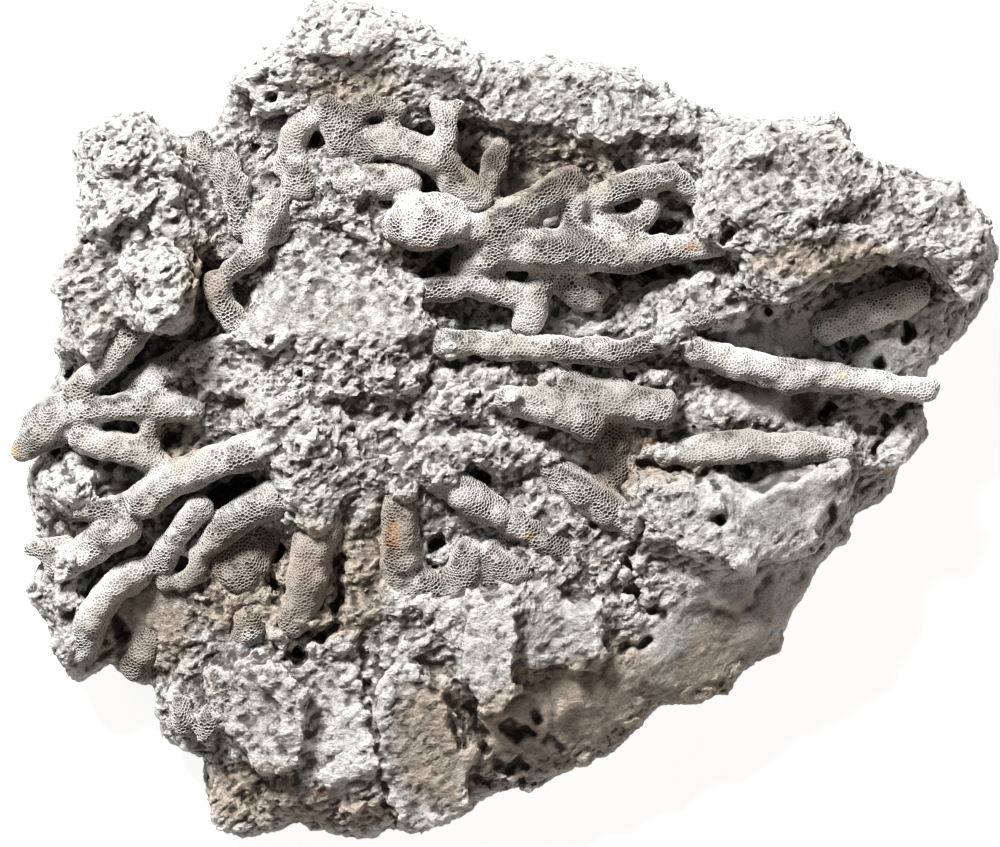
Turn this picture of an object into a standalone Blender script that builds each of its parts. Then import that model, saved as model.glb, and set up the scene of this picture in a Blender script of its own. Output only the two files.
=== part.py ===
"""Fossil coral head.

A colony of branching coral, weathered out of the limestone that buried it. The specimen lies on its
flat back, with the coral upward: +X is its length, +Y its width and +Z its thickness. The origin is on
the surface that it rests on, below the middle of its footprint.

The stone matrix is one piece. The coral is split at its main forks, one piece to each bough, finger and
arch.
"""
import math
from collections import namedtuple

import bmesh
import bpy
from mathutils import Euler, Matrix, Vector

MM = 0.001

# Driving dimensions of the specimen.
REST_LEVEL = 0.75 * MM
SLAB_BOTTOM = 3 * MM
SLAB_TOP = 15 * MM
FOOT_TOP = 8 * MM
FOOT_SCALE = 0.93
MOUND_CENTRE = Vector((-8, 0, 8)) * MM
MOUND_RADII = Vector((88, 74, 26)) * MM
ENVELOPE_TOP = 60 * MM

# The level ground that the resting face is cut flat by.
GROUND_WIDTH = 300 * MM
GROUND_DEPTH = 20 * MM

# Gap between each piece and its neighbours.
CLEARANCE = 0.4 * MM

# Roughness and fineness of the stone.
STONE_GRAIN = 2.0 * MM
HOLLOW_GRAIN = 2.0 * MM
WEATHERING_SIZE = 9 * MM
WEATHERING_DEPTH = 2.6 * MM
WEATHERING_DETAIL = 3
MOUND_FINENESS = 4
LUMP_FINENESS = 3
STONE_TRIANGLES = 2500

# Roundness of the coral. A six-sided branch is a little thicker at its corners than a round one.
SIDES_SETTING = 1
CORNER_SWELLING = 1.05
RING_SPACING = 7 * MM
TIP_REACH = 0.55
TIP_RADIUS = 0.55

WELD_DISTANCE = 0.01 * MM
SHARP_EDGE = math.radians(45)
STONE_COLOUR = (0.42, 0.40, 0.36)
CORAL_COLOUR = (0.52, 0.50, 0.47)
ROUGHNESS = 0.9

Block = namedtuple("Block", "outline bottom top tilt_x tilt_y", defaults=(0, 0))
Lump = namedtuple("Lump", "centre radii turn", defaults=(0,))

# The edge of the whole specimen, seen from above, in millimetres.
SILHOUETTE = [
    (-94.4, -10), (-90, -4), (-90, 3), (-91, 6.2), (-87.6, 11.6), (-90, 16.2), (-88, 21),
    (-89.6, 27.6), (-88, 32.2), (-83.2, 40.2), (-84.2, 44.6), (-85.4, 54.6), (-85.2, 58.4),
    (-82.4, 59.8), (-79.4, 60.2), (-76.4, 63), (-73, 63.2), (-66, 56.4), (-60, 56.6), (-57, 58.2),
    (-54, 66.2), (-47.6, 73), (-44, 74), (-40.8, 76.4), (-39.2, 81.2), (-33, 84.2), (-28, 84),
    (-24, 82.2), (-17, 79.6), (-8, 74.2), (-3, 71.6), (2, 72.2), (15, 71), (22.4, 71), (31, 65.6),
    (40, 63), (47, 62), (56, 59.4), (63, 61.4), (67.6, 60.6), (68.4, 56.2), (73.6, 51.2),
    (82, 48.6), (87, 49), (93, 43.6), (98, 39.6), (99.6, 33.6), (99.4, 28.2), (94, 21.6),
    (91.4, 17), (87, 15.6), (86, 11.6), (82.4, 8.2), (83.6, 4.2), (86.2, 1.6), (84, -5),
    (80.6, -7.8), (77, -15), (72.4, -16.8), (67.6, -24.4), (64, -27.4), (60, -35.4), (55.6, -43.4),
    (53.6, -46.4), (49, -48.4), (45, -53.4), (40, -55.4), (32, -56), (25, -62.4), (24, -66.4),
    (14, -68.4), (10, -72), (-2, -74.4), (-6, -75.4), (-8, -78.6), (-15, -80.6), (-19, -82.6),
    (-21.6, -79.4), (-28, -83.8), (-35, -81.8), (-40, -79.4), (-46, -83), (-51, -83.8),
    (-57, -80.4), (-58.8, -76.4), (-58.2, -67.4), (-62, -66.6), (-66, -64.8), (-68.4, -63.4),
    (-67.4, -59.8), (-69.6, -53.4), (-69, -50.4), (-74, -52), (-77, -49), (-80.4, -47.4),
    (-84, -51), (-88, -49.4), (-90.6, -40.4), (-94, -34.4), (-94, -30.4), (-91.4, -27),
    (-92.4, -21.8), (-92.6, -17.8), (-95, -13),
]

# Ledges, flakes and blocks of stone: outline, bottom, top and tilt in millimetres and degrees.
STONE_BLOCKS = [
    # Steep block at the upper left, in two steps, and the flake that overhangs its foot.
    Block([(-83.6, 57.6), (-79.4, 59.2), (-73, 62.4), (-67, 56), (-64, 48.6), (-63.4, 42),
           (-71, 41.4), (-76, 38.6), (-82.6, 38.2), (-83.6, 44.6)], 6, 41, 0, -7),
    Block([(-82.6, 39.6), (-76, 39.6), (-71, 42), (-63, 43), (-61.6, 33.6), (-60.6, 29.6),
           (-61.6, 24.6), (-64.4, 18.2), (-70, 19.6), (-76.4, 20.6), (-84, 18.6), (-88, 21.6),
           (-89, 27.6), (-87.6, 32)], 6, 37, 2, -9),
    Block([(-72, 33), (-67, 34.6), (-62, 32.2), (-60.6, 28.6), (-61.6, 23.6), (-64, 19.6),
           (-68, 17.4), (-71.6, 19.6), (-73.6, 24.6), (-74, 29.6)], 30, 43, 3, -5),
    # Ridge along the top, which overhangs the coral rings below it.
    Block([(-53.6, 66.6), (-47.6, 73), (-41, 76.2), (-39, 81.2), (-33, 83.6), (-20, 80.6),
           (-12, 76), (-3, 71), (-4.4, 67.6), (-12, 68.6), (-20, 70.2), (-26, 71), (-34, 68.6),
           (-40, 65.6), (-43, 65), (-47.6, 67.6), (-52, 64.6)], 8, 44, 7, 0),
    # Shelf of coral rock below the ridge, and the crumbly crown of the head.
    Block([(-63, 55.6), (-57, 57), (-54, 64), (-46, 64), (-40, 62), (-30, 62), (-18, 56),
           (-20, 44), (-38, 40), (-52, 34), (-58, 34), (-62, 44)], 5, 35, 0, -3),
    Block([(-55, 20), (-46, 25), (-34, 29), (-22, 28), (-15, 25), (-11.6, 19), (-18, 15),
           (-30, 13.6), (-40, 16), (-50, 16)], 24, 39.5, -4, 0),
    # Floors of the recesses under the ridge and in front of the ledge.
    Block([(-45, 70), (-46, 61), (-30, 59), (-18, 53), (-5, 57), (-4, 70), (-20, 74),
           (-36, 72)], 8, 31, 2, 0),
    Block([(-8, 60), (8, 61), (38, 59), (40, 46), (24, 43), (8, 46), (-6, 50)], 8, 27.5, 2, 0),
    # Ledge at the upper right, with a recess in front of it.
    Block([(-3, 71), (8, 70.6), (22, 70.4), (31, 64.6), (40, 62), (42.4, 56.6), (36, 56), (28, 57),
           (20, 55), (14, 55.4), (9, 58.6), (0, 58.6), (-8, 60.6), (-6, 66)], 8, 38, 3, 0),
    # Massive block at the right, and the rubble that joins it to the coral.
    Block([(42.4, 60), (56, 58), (67, 59), (72, 51), (82, 47.8), (91, 46), (95.6, 42),
           (98.4, 34.6), (97.4, 27), (92, 23.6), (88, 30.6), (81, 34.6), (74, 32.2), (64, 28.2),
           (58, 24.6), (52, 24.6), (48, 28.6), (47, 34.6), (40, 37.6), (41, 47.6),
           (44, 56)], 8, 44, 2, 4),
    Block([(34, 37), (47, 36), (54, 26), (50, 20), (43, 20), (36, 17), (32, 26)], 10, 36),
    Block([(66, 26), (72, 28), (88, 27), (93, 22), (91, 17.4), (86.4, 15.6), (85, 11.6),
           (81.6, 8.6), (83, 4), (85, 1.6), (83, -5), (79, -7.6), (74, -8), (68, -4), (66, 4),
           (64, 12)], 6, 25, 0, 4),
    # Pale floor of the recess on the right.
    Block([(36, 21), (46, 26), (62, 26), (76, 30), (90, 28), (86, 14), (70, 9), (60, 12),
           (44, 13)], 8, 28.5, 0, 2),
    # Bright slab at the lower right, above a smooth slope.
    Block([(28, -9.4), (40, -11), (52, -14.4), (60, -11), (67, -8), (72, -9.4), (70, -17.4),
           (67, -19.4), (63, -26.4), (54, -27.4), (40, -27.8), (32, -25.4),
           (28, -19.4)], 10, 33, 3, 8),
    Block([(18, -26), (30, -25), (46, -28), (58, -28), (52, -42), (42, -50), (30, -52), (16, -60),
           (2, -64), (0, -50), (10, -38)], 6, 23, 13, 10),
    # Blocks along the lower edge.
    Block([(-28, -43), (-16, -43), (-8, -45), (-7, -60), (-9, -76), (-15, -79), (-19, -81),
           (-22, -77), (-26, -64), (-28, -50)], 4, 23, 14, 0),
    Block([(-8, -37), (4, -36), (4, -48), (-2, -56), (-9, -52)], 10, 31, 12, -4),
    Block([(4, -35), (20, -37), (20, -46), (6, -48)], 10, 28, 8, 4),
    Block([(-67, -50), (-56, -47), (-36, -47), (-28, -49), (-25, -66), (-24, -76), (-28, -82),
           (-40, -78), (-51, -82), (-56, -79), (-57, -66.6), (-66, -63),
           (-66, -58)], 4, 17, 12, -4),
    Block([(-55, -48.6), (-44, -50), (-39, -52), (-39, -64), (-44, -71), (-52, -69),
           (-56, -60)], 6, 24, 12, -6),
    # Crumbly mass left of the centre.
    Block([(-50, 6), (-34, 8), (-29, -6), (-33, -20), (-43, -19), (-47, -6)], 10, 36, 2, -3),
]

# Rounded lumps of stone: centre and radii in millimetres, turn in degrees about Z.
STONE_LUMPS = [
    Lump((-30, 36, 30), (17, 15, 9.5), -20),
    Lump((-44, 30, 31), (9, 9, 7)),
    Lump((-26, 21, 31), (13, 6, 8.5), 8),
    Lump((-80.4, 15.2, 26), (4.6, 5.2, 9)),
    Lump((-87, 15.6, 18), (2.8, 3.8, 9)),
    Lump((-85.6, -13.4, 19), (5.6, 5.4, 9)),
    Lump((-91.6, -14, 13), (3, 4.4, 7)),
    Lump((-88, -33, 13), (5.8, 6, 8)),
    Lump((-86, -43.4, 10), (5.2, 6.8, 10)),
    Lump((-74, 11, 20), (12, 9, 8), -30),
    Lump((-38, -3, 34), (5, 6, 6)),
    Lump((-41.6, -13.6, 31), (4.8, 5, 6.5)),
    Lump((-26, -11.6, 31), (4.2, 4.6, 5.5)),
    Lump((-22, 9, 34), (8, 5, 5)),
    Lump((-9, 5, 34), (7, 5, 5)),
    Lump((-8, -6.6, 32), (6, 3.6, 5)),
    Lump((3, -3.6, 32), (5.4, 3.6, 4.6)),
    Lump((6.4, -10.4, 30), (2.8, 4, 6)),
    Lump((-30, -27, 25), (7, 9, 7)),
    Lump((-33, 50, 34), (8, 6, 7)),
    Lump((22, 7, 29), (14, 5, 7)),
    Lump((46, 2, 27), (12, 6, 6)),
    Lump((62, -6, 26), (9, 5, 6), 10),
    Lump((6, 8, 31), (9, 5, 5)),
    Lump((31, 23, 31), (9, 4.4, 6), 20),
    Lump((-2, 9, 32), (6, 4, 5)),
    Lump((-15, -2, 32), (7, 4, 5), 10),
    Lump((14, -30, 25), (9, 6, 6), -20),
    Lump((-12, -40, 24), (7, 5, 6)),
    Lump((24, -34, 24), (9, 7, 6), -30),
    Lump((-46, -58, 17), (7, 9, 7), 15),
    Lump((-33, -62, 14), (6, 11, 7), -8),
    Lump((-16, -58, 20), (6, 10, 6), 10),
    Lump((20, -50, 17), (12, 7, 7), -25),
    Lump((48, -36, 16), (10, 7, 8), -40),
    Lump((60, 44, 40), (10, 7, 7), -15),
    Lump((86, 38, 38), (8, 6, 7), -40),
    Lump((-53, -38, 17), (8, 10, 8), 20),
    Lump((-66, -42, 11), (8, 7, 6), 45),
]

# Holes and hollows in the stone: centre and radii in millimetres, turn in degrees about Z.
HOLLOWS = [
    # Among the struts and rings at the upper left.
    Lump((-51, 36.8, 38), (1.9, 2.6, 8)),
    Lump((-45, 64.4, 38), (2, 2, 6)),
    Lump((-49, 55, 37), (2.2, 1.4, 6)),
    Lump((-37.4, 57.6, 38), (2, 1.8, 6)),
    Lump((-15, 58, 36), (2.4, 1.8, 6)),
    Lump((-30, 67, 40), (10, 3.6, 9), -4),
    Lump((-43, 38.6, 40), (1.6, 3.6, 5), -35),
    Lump((-51.8, 24.8, 36), (3.2, 4.8, 8)),
    Lump((-45.6, 15.4, 38), (2.8, 1.6, 6)),
    Lump((-59.4, 27, 32), (2.6, 10, 14)),
    # Under the boughs at the top.
    Lump((-16, 46.6, 38), (9, 3, 8), -32),
    Lump((-12.6, 32, 38), (6.6, 4.6, 8)),
    Lump((2.6, 27.8, 36), (3, 1.8, 6)),
    Lump((8, 53, 34), (17, 6, 8), -3),
    Lump((25, 43.6, 35), (2.6, 2, 6)),
    Lump((32, 40.6, 34), (3.6, 3.4, 7)),
    Lump((31, 30, 33), (11, 3.4, 8), 5),
    # On the right.
    Lump((45.4, 38, 38), (1.8, 3.2, 8)),
    Lump((62, 39, 46), (1.7, 1.7, 5)),
    Lump((52, 18.4, 37), (8.6, 6, 9)),
    Lump((70, 25.4, 37), (10, 3.8, 10), 12),
    Lump((83, 29.6, 35), (9, 4.6, 12), -8),
    Lump((82, 18, 24), (2.1, 2.1, 8)),
    Lump((69, 14.6, 24), (3.8, 3.2, 9)),
    Lump((78, 11, 26), (1.6, 1.4, 6)),
    Lump((67, 2, 28), (3.4, 2.8, 9), 30),
    Lump((26, 9, 35), (2.6, 3, 6)),
    Lump((35.6, -9.6, 32), (4, 1.4, 6), 8),
    Lump((49.6, -9.8, 33), (3.2, 2, 7), -25),
    Lump((43.6, -19, 35), (1.7, 1.7, 5)),
    # Between the boughs of the lower left.
    Lump((-86, 10, 20), (2.2, 3, 7)),
    Lump((-78, -1.4, 28), (4.4, 2.2, 8)),
    Lump((-66, -2.8, 31), (5, 2.6, 8)),
    Lump((-74, -11, 28), (5, 3, 9), -10),
    Lump((-52.6, -12.8, 30), (9, 3.8, 15), 26),
    Lump((-79, -20.4, 24), (6.4, 1.9, 9), 4),
    Lump((-70.6, -24.6, 24), (3.4, 2.2, 9), 35),
    Lump((-62, -22, 24), (3, 10, 11), -42),
    Lump((-76.4, -39.6, 19), (2.4, 6.6, 10), -38),
    Lump((-47, -24.6, 25), (5, 6, 11), -30),
    # Around the centre and along the lower edge.
    Lump((-4.4, -11.2, 35), (3.8, 3.4, 9)),
    Lump((-12.8, -26, 31), (2.8, 4.8, 10)),
    Lump((-2, -31.2, 30), (1.9, 1.6, 7)),
    Lump((8, -9.4, 33), (3, 2.4, 6)),
    Lump((-41, -46, 22), (3.4, 3, 9)),
    Lump((3.4, -63, 20), (3.2, 2.6, 7)),
    Lump((1, -69.4, 13), (3, 2, 6)),
    Lump((-24, -46, 27), (2, 4, 8)),
]

# The coral, in millimetres: each branch is a route of points (x, y, z, radius), from the bough that it
# leaves to its tip. A branch gives way to those that are listed before it.
TOP_BOUGHS = {
    "main_bough": [(-7, 31, 37, 3.6), (0, 35, 39, 4.1), (12, 34.2, 38.5, 4), (24, 33.6, 37.5, 3.4),
                   (36, 34.8, 36.5, 2.4), (45, 35.4, 36, 1.6)],
    "crossing_bough": [(-6, 38, 40, 3.6), (4, 41.6, 39.5, 3.6), (11, 46.4, 38.5, 3.4),
                       (15, 48.4, 37.5, 2.8)],
    "crossing_bough_knob": [(14.4, 44, 38, 2.6), (14.6, 39, 37.5, 2.5)],
    "ring_bough": [(-28, 54, 38, 2.8), (-23, 56, 40, 3.2), (-17, 55, 41, 3.2), (-11.6, 51.6, 41, 3.1),
                   (-6.4, 46, 40.5, 3), (-3.4, 43, 40, 2.6)],
    "ring_bough_stub": [(-11, 55.6, 41, 2.3), (-10.8, 59.4, 41.5, 2.3), (-12.4, 63, 41, 1.6)],
    "ring_bough_tip": [(-9.4, 61.2, 41.5, 1.6), (-7.8, 63.4, 41, 1.5)],
    "upright_strut": [(-2.6, 45.4, 39, 2.3), (-1, 51, 37.5, 2.3), (0.4, 55.6, 36, 2.2)],
    "claw_branch": [(18, 44, 36, 2.5), (27, 48, 37, 2.6), (34, 49.4, 37, 2.4), (39.6, 44.6, 35.5, 1.9)],
    "claw_stub": [(25, 38.4, 36, 2.3), (30.4, 43, 36, 2)],
    "bough_lump": [(18.4, 39, 36, 2.4), (24, 39.6, 35.5, 2.2)],
    "bough_web": [(13, 28.4, 34, 3), (18.6, 24.6, 32.5, 3)],
    "cross_bar": [(9, 30.4, 36, 2.9), (7.2, 24.6, 36.5, 3), (5, 19, 35.5, 2.8)],
    "inner_bar": [(-16, 26.4, 38, 2.5), (-6, 27.4, 38, 2.6), (4, 25.4, 37, 2.4)],
    "shelf_lobe": [(-29.6, 47.6, 38.5, 3), (-23, 48, 40, 3.4), (-18, 47.6, 39.5, 3.2)],
    "shelf_arch": [(-21, 39.6, 38, 3.6), (-12, 41.6, 38.5, 3.6), (-7.6, 38.6, 37.5, 3)],
}

UPPER_LEFT_ARCHES = {
    "tall_arch_left_limb": [(-42, 50, 35.5, 2.6), (-41.2, 57, 37.5, 2.7), (-37.6, 61, 39.5, 2.6)],
    "tall_arch_right_limb": [(-34.4, 63, 40.5, 2.7), (-32.2, 58, 39.5, 3), (-31, 51, 36.5, 2.8)],
    "ring_left_half": [(-29.4, 58.4, 38, 2.4), (-28.6, 62, 40, 2.4), (-25.4, 63.8, 41, 2.2)],
    "ring_right_half": [(-22.6, 63.4, 40.5, 2.2), (-20, 61.6, 39, 2)],
    "left_strut": [(-54.2, 53.4, 35, 1.9), (-53, 48, 36, 2), (-51.4, 43.4, 36, 1.9)],
    "hooked_branch": [(-44.4, 44.4, 37, 2.5), (-47.6, 38.6, 37.5, 2.6), (-48.6, 33.4, 37.5, 2.5),
                      (-54, 30.4, 36.5, 2.3)],
    "hollow_rim": [(-56.4, 28.6, 35.5, 2), (-56, 23.6, 35, 2.2), (-52, 19.2, 35, 2.3),
                   (-45, 18.8, 37, 2.2)],
}

LEFT_BOUGHS = {
    "left_bough": [(-46, -4.6, 35, 3.1), (-56, -7.6, 33, 3.4), (-65, -11, 31, 3.4), (-72, -16.6, 28, 3.2)],
    "left_bough_fork": [(-74.6, -20.2, 26.5, 3.2), (-83, -25.6, 22.5, 3.2), (-89.6, -29.6, 18.5, 2.8)],
    "left_bough_twig": [(-68.6, -13.6, 27, 2.2), (-77, -16.4, 26, 2.1), (-84.6, -17.8, 25, 1.7)],
    "steep_branch": [(-71.6, 19.6, 33, 2.8), (-76, 14.6, 32, 2.8), (-80, 10, 30, 2.8), (-86, 6, 27.5, 2.5)],
    "sheltered_branch": [(-61, 14, 29, 3), (-69, 9, 27.5, 3.2), (-75, 7, 26, 2.6)],
    "pointed_tip": [(-88.4, 2.6, 24, 3.6), (-92, -2, 23, 4), (-97, -5.4, 21, 2)],
    "upper_finger": [(-61, 2.4, 31, 2.5), (-70, 3.4, 31, 2.7), (-78, 3, 30, 2.5), (-85.4, 1.6, 28, 2.3)],
    "lower_finger": [(-67.4, -8.4, 28.6, 2.6), (-71, -6.2, 29, 2.7), (-78, -4.6, 28.6, 2.8),
                     (-84.6, -3, 27, 2.4)],
    "finger_link": [(-70, 1, 30, 2), (-70.2, -4, 29.6, 2)],
    "low_tip": [(-86.6, -25, 18.6, 2.3), (-91, -25.2, 18, 2.3), (-94.4, -25.6, 17.6, 2)],
    "long_arch": [(-43.4, -14.6, 32, 3.1), (-48.6, -16.6, 31.5, 3.3), (-55, -20.6, 29.5, 3.2),
                  (-61, -26.4, 26, 2.7)],
    "long_arch_spur": [(-60, -29, 26.5, 2.3), (-64, -32.4, 24.5, 2.1)],
    "free_finger": [(-68, -28.4, 24, 2.8), (-63.6, -21.6, 28, 2.7), (-59.2, -16.4, 31, 2.4)],
    "drooping_arm": [(-72, -29.4, 23.5, 2.8), (-78, -33.4, 21.5, 3.2), (-82.6, -39.6, 18.5, 3.2),
                     (-84.8, -46.6, 14.5, 3)],
    "buried_arm": [(-63.6, -35.6, 17, 3.2), (-69, -41.4, 15.5, 3.5), (-74.6, -49, 12.5, 3.2)],
    "inner_sheet": [(-47.6, -21.6, 25.5, 3.6), (-50, -28, 22.5, 4), (-51.4, -33, 21, 3.6)],
    "lower_knob": [(-50.4, -38, 23, 4.2), (-50.2, -42.6, 22.5, 4)],
    "upper_toe": [(-62.6, -55, 15, 2.5), (-65.4, -61.6, 13, 2.3)],
    "lower_toe": [(-58.4, -55.4, 15, 2.3), (-60, -62.8, 13, 2.2)],
}

CENTRE_AND_RIGHT = {
    "smooth_column": [(-34, -19.6, 30, 3.6), (-37.6, -25, 31, 4), (-38.4, -33, 29, 4),
                      (-40.6, -40, 25.5, 3.6)],
    "upright_strand": [(-20, -11.6, 33, 3.2), (-20, -20, 32, 3.5), (-20, -28, 30, 3.5),
                       (-19, -35, 27, 3.2)],
    "cup_left_branch": [(-16.4, -31.4, 29, 3), (-10.6, -33.2, 28, 3.2)],
    "cup_right_branch": [(-6, -24.6, 31, 3.2), (-7.4, -29.6, 30, 3.4), (-7, -35, 27.5, 3.2)],
    "centre_bough": [(-13, -10.2, 35, 3), (-7, -14.4, 34.5, 3.3), (-1, -18.4, 33, 3.2)],
    "centre_bough_fork": [(2, -19.6, 31.5, 3), (7, -22.6, 30.5, 3.2), (13.4, -25, 28.5, 2.9)],
    "honeycomb_branch": [(-3, -25, 31, 3), (2, -29, 30, 3.4), (7, -33.4, 27, 3.3)],
    "thin_ridge": [(-12, 15.4, 36.5, 2.2), (0, 15.4, 37, 2.4), (12, 14.6, 36.5, 2.4), (24, 14.4, 35.5, 2.4),
                   (35.6, 18, 34.5, 2.1)],
    "broad_branch": [(10, 8, 34.5, 3.4), (20, 4.6, 34, 4.2), (32.6, 2.4, 32.5, 3.8)],
    "blunt_finger": [(1, 5, 37, 2.8), (10, 2.8, 38, 3.1), (18.6, -1.4, 36.5, 2.8)],
    "coarse_branch": [(8, -7.4, 31, 3), (17.6, -14.2, 32, 3.6), (27, -20.6, 29.5, 3)],
    "low_patch": [(20.6, -3.6, 30.5, 3.6), (23.6, -10.4, 29, 3.2)],
    "long_finger": [(38, 14.6, 34, 2.8), (48, 12, 33.5, 3), (60, 9.4, 32.5, 2.9), (72, 8, 31.5, 2.6),
                    (86, 6.6, 30, 2.1)],
    "flat_finger": [(33, -6.4, 31, 2.4), (44, -5.2, 31.5, 2.7), (56, -4.4, 31, 2.6), (69, -5.6, 29.5, 2.3)],
    "edge_branch": [(64.4, 18.4, 28.5, 3), (74, 22, 29, 3.5), (84, 26.4, 28, 3)],
}

CORAL = {**TOP_BOUGHS, **UPPER_LEFT_ARCHES, **LEFT_BOUGHS, **CENTRE_AND_RIGHT}


def clear_scene():
    """Remove everything that the scene opens with."""
    for item in list(bpy.data.objects):
        bpy.data.objects.remove(item)


def new_collection(name):
    """Add a collection to the scene."""
    collection = bpy.data.collections.new(name)
    bpy.context.scene.collection.children.link(collection)
    return collection


def add_object(name, mesh, collection):
    """Put a mesh in the scene as an object."""
    item = bpy.data.objects.new(name, mesh)
    collection.objects.link(item)
    return item


def move_to(item, collection):
    """Move an object to a collection."""
    for owner in list(item.users_collection):
        owner.objects.unlink(item)
    collection.objects.link(item)


def evaluated_mesh(item):
    """The object's mesh with its modifiers applied."""
    bpy.context.view_layer.update()
    return bpy.data.meshes.new_from_object(item.evaluated_get(bpy.context.evaluated_depsgraph_get()))


def weld(mesh):
    """Close the loose caps of a mesh that was a curve."""
    shape = bmesh.new()
    shape.from_mesh(mesh)
    bmesh.ops.remove_doubles(shape, verts=shape.verts, dist=WELD_DISTANCE)
    bmesh.ops.recalc_face_normals(shape, faces=shape.faces)
    shape.to_mesh(mesh)
    shape.free()


def curve_to_solid(name, curve, collection):
    """Turn curve data into a closed mesh object."""
    guide = add_object(name + "_curve", curve, collection)
    mesh = evaluated_mesh(guide)
    weld(mesh)
    solid = add_object(name, mesh, collection)
    solid.matrix_world = guide.matrix_world.copy()
    bpy.data.objects.remove(guide)
    return solid


def prism(name, outline, bottom, top, collection):
    """An outline in millimetres, extruded from bottom to top."""
    curve = bpy.data.curves.new(name, "CURVE")
    curve.dimensions = "2D"
    curve.fill_mode = "BOTH"
    curve.extrude = (top - bottom) / 2
    spline = curve.splines.new("POLY")
    spline.points.add(len(outline) - 1)
    for point, (x, y) in zip(spline.points, outline):
        point.co = (x * MM, y * MM, 0, 1)
    spline.use_cyclic_u = True
    solid = curve_to_solid(name, curve, collection)
    solid.location.z = (top + bottom) / 2
    return solid


def tilted_block(name, block, collection):
    """A ledge or block of stone, tilted about the middle of its outline."""
    solid = prism(name, block.outline, block.bottom * MM, block.top * MM, collection)
    middle = sum((Vector(point) for point in block.outline), Vector((0, 0))) / len(block.outline) * MM
    pivot = Matrix.Translation((middle.x, middle.y, block.top * MM))
    tilt = Euler((math.radians(block.tilt_x), math.radians(block.tilt_y), 0)).to_matrix().to_4x4()
    solid.matrix_world = pivot @ tilt @ pivot.inverted() @ Matrix.Translation(solid.location)
    return solid


def ellipsoid(name, lump, fineness, collection):
    """A rounded lump, or a cutter for a rounded hollow."""
    bpy.ops.mesh.primitive_ico_sphere_add(subdivisions=fineness, radius=1)
    solid = bpy.context.object
    solid.name = name
    move_to(solid, collection)
    solid.location = Vector(lump.centre) * MM
    solid.scale = Vector(lump.radii) * MM
    solid.rotation_euler.z = math.radians(lump.turn)
    return solid


def join(name, solids):
    """Join several solids into one object, still overlapping."""
    bpy.ops.object.select_all(action="DESELECT")
    for solid in solids:
        solid.select_set(True)
    bpy.context.view_layer.objects.active = solids[0]
    bpy.ops.object.join()
    joined = bpy.context.object
    joined.name = name
    bpy.ops.object.transform_apply(location=True, rotation=True, scale=True)
    return joined


def fuse(item, grain):
    """Fuse overlapping solids, or a skin that was cut, into one even skin of the given grain."""
    remesh = item.modifiers.new("Fuse", "REMESH")
    remesh.mode = "VOXEL"
    remesh.voxel_size = grain


def cut(item, cutter):
    """Cut one solid from another."""
    boolean = item.modifiers.new("Cut " + cutter.name, "BOOLEAN")
    boolean.operation = "DIFFERENCE"
    boolean.object = cutter


def keep_inside(item, cutter):
    """Keep only what one solid shares with another."""
    boolean = item.modifiers.new("Keep inside " + cutter.name, "BOOLEAN")
    boolean.operation = "INTERSECT"
    boolean.object = cutter


def hide_cutter(cutter):
    """Mark an object as a cutter, which is no part of the specimen."""
    cutter.hide_render = True
    cutter.display_type = "WIRE"


def keep_largest_body(mesh):
    """Remove the crumbs that cuts leave, so that a piece is one body."""
    shape = bmesh.new()
    shape.from_mesh(mesh)
    bodies = []
    waiting = set(shape.verts)
    while waiting:
        body = [waiting.pop()]
        for vertex in body:
            for edge in vertex.link_edges:
                other = edge.other_vert(vertex)
                if other in waiting:
                    waiting.remove(other)
                    body.append(other)
        bodies.append(body)
    bodies.sort(key=len)
    for crumbs in bodies[:-1]:
        bmesh.ops.delete(shape, geom=crumbs, context="VERTS")
    shape.to_mesh(mesh)
    shape.free()


def finish_piece(item, colour):
    """Freeze a piece's cuts, keep its one body, and give it a stone material of its own."""
    mesh = evaluated_mesh(item)
    keep_largest_body(mesh)
    item.modifiers.clear()
    item.data = mesh
    mesh.name = item.name
    mesh.shade_smooth()
    mesh.set_sharp_from_angle(angle=SHARP_EDGE)
    material = bpy.data.materials.new(item.name)
    material.use_nodes = True
    shader = material.node_tree.nodes["Principled BSDF"]
    shader.inputs["Base Color"].default_value = (*colour, 1)
    shader.inputs["Roughness"].default_value = ROUGHNESS
    shader.inputs["Metallic"].default_value = 0
    mesh.materials.clear()
    mesh.materials.append(material)


def spline_point(before, start, end, after, fraction):
    """A point of a Catmull-Rom curve between start and end."""
    f = fraction
    return 0.5 * (2 * start + (end - before) * f + (2 * before - 5 * start + 4 * end - after) * f ** 2
                  + (3 * start - before - 3 * end + after) * f ** 3)


def smooth_route(route):
    """A branch's points and radii in metres, smoothed, with a rounded tip at each end."""
    points = [Vector(point) * MM for point in route]
    first = 2 * points[0] - points[1]
    last = 2 * points[-1] - points[-2]
    padded = [first, *points, last]
    smooth = []
    for before, start, end, after in zip(padded, padded[1:], padded[2:], padded[3:]):
        steps = max(1, round((end - start).length / RING_SPACING))
        for step in range(steps):
            smooth.append(spline_point(before, start, end, after, step / steps))
    smooth.append(points[-1])
    return [round_tip(smooth[1], smooth[0]), *smooth, round_tip(smooth[-2], smooth[-1])]


def round_tip(inner, end):
    """The narrow last point of a rounded tip, just beyond the route's end."""
    along = (end.xyz - inner.xyz).normalized()
    tip = end.copy()
    tip.xyz = end.xyz + along * end.w * TIP_REACH
    tip.w = end.w * TIP_RADIUS
    return tip


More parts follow.
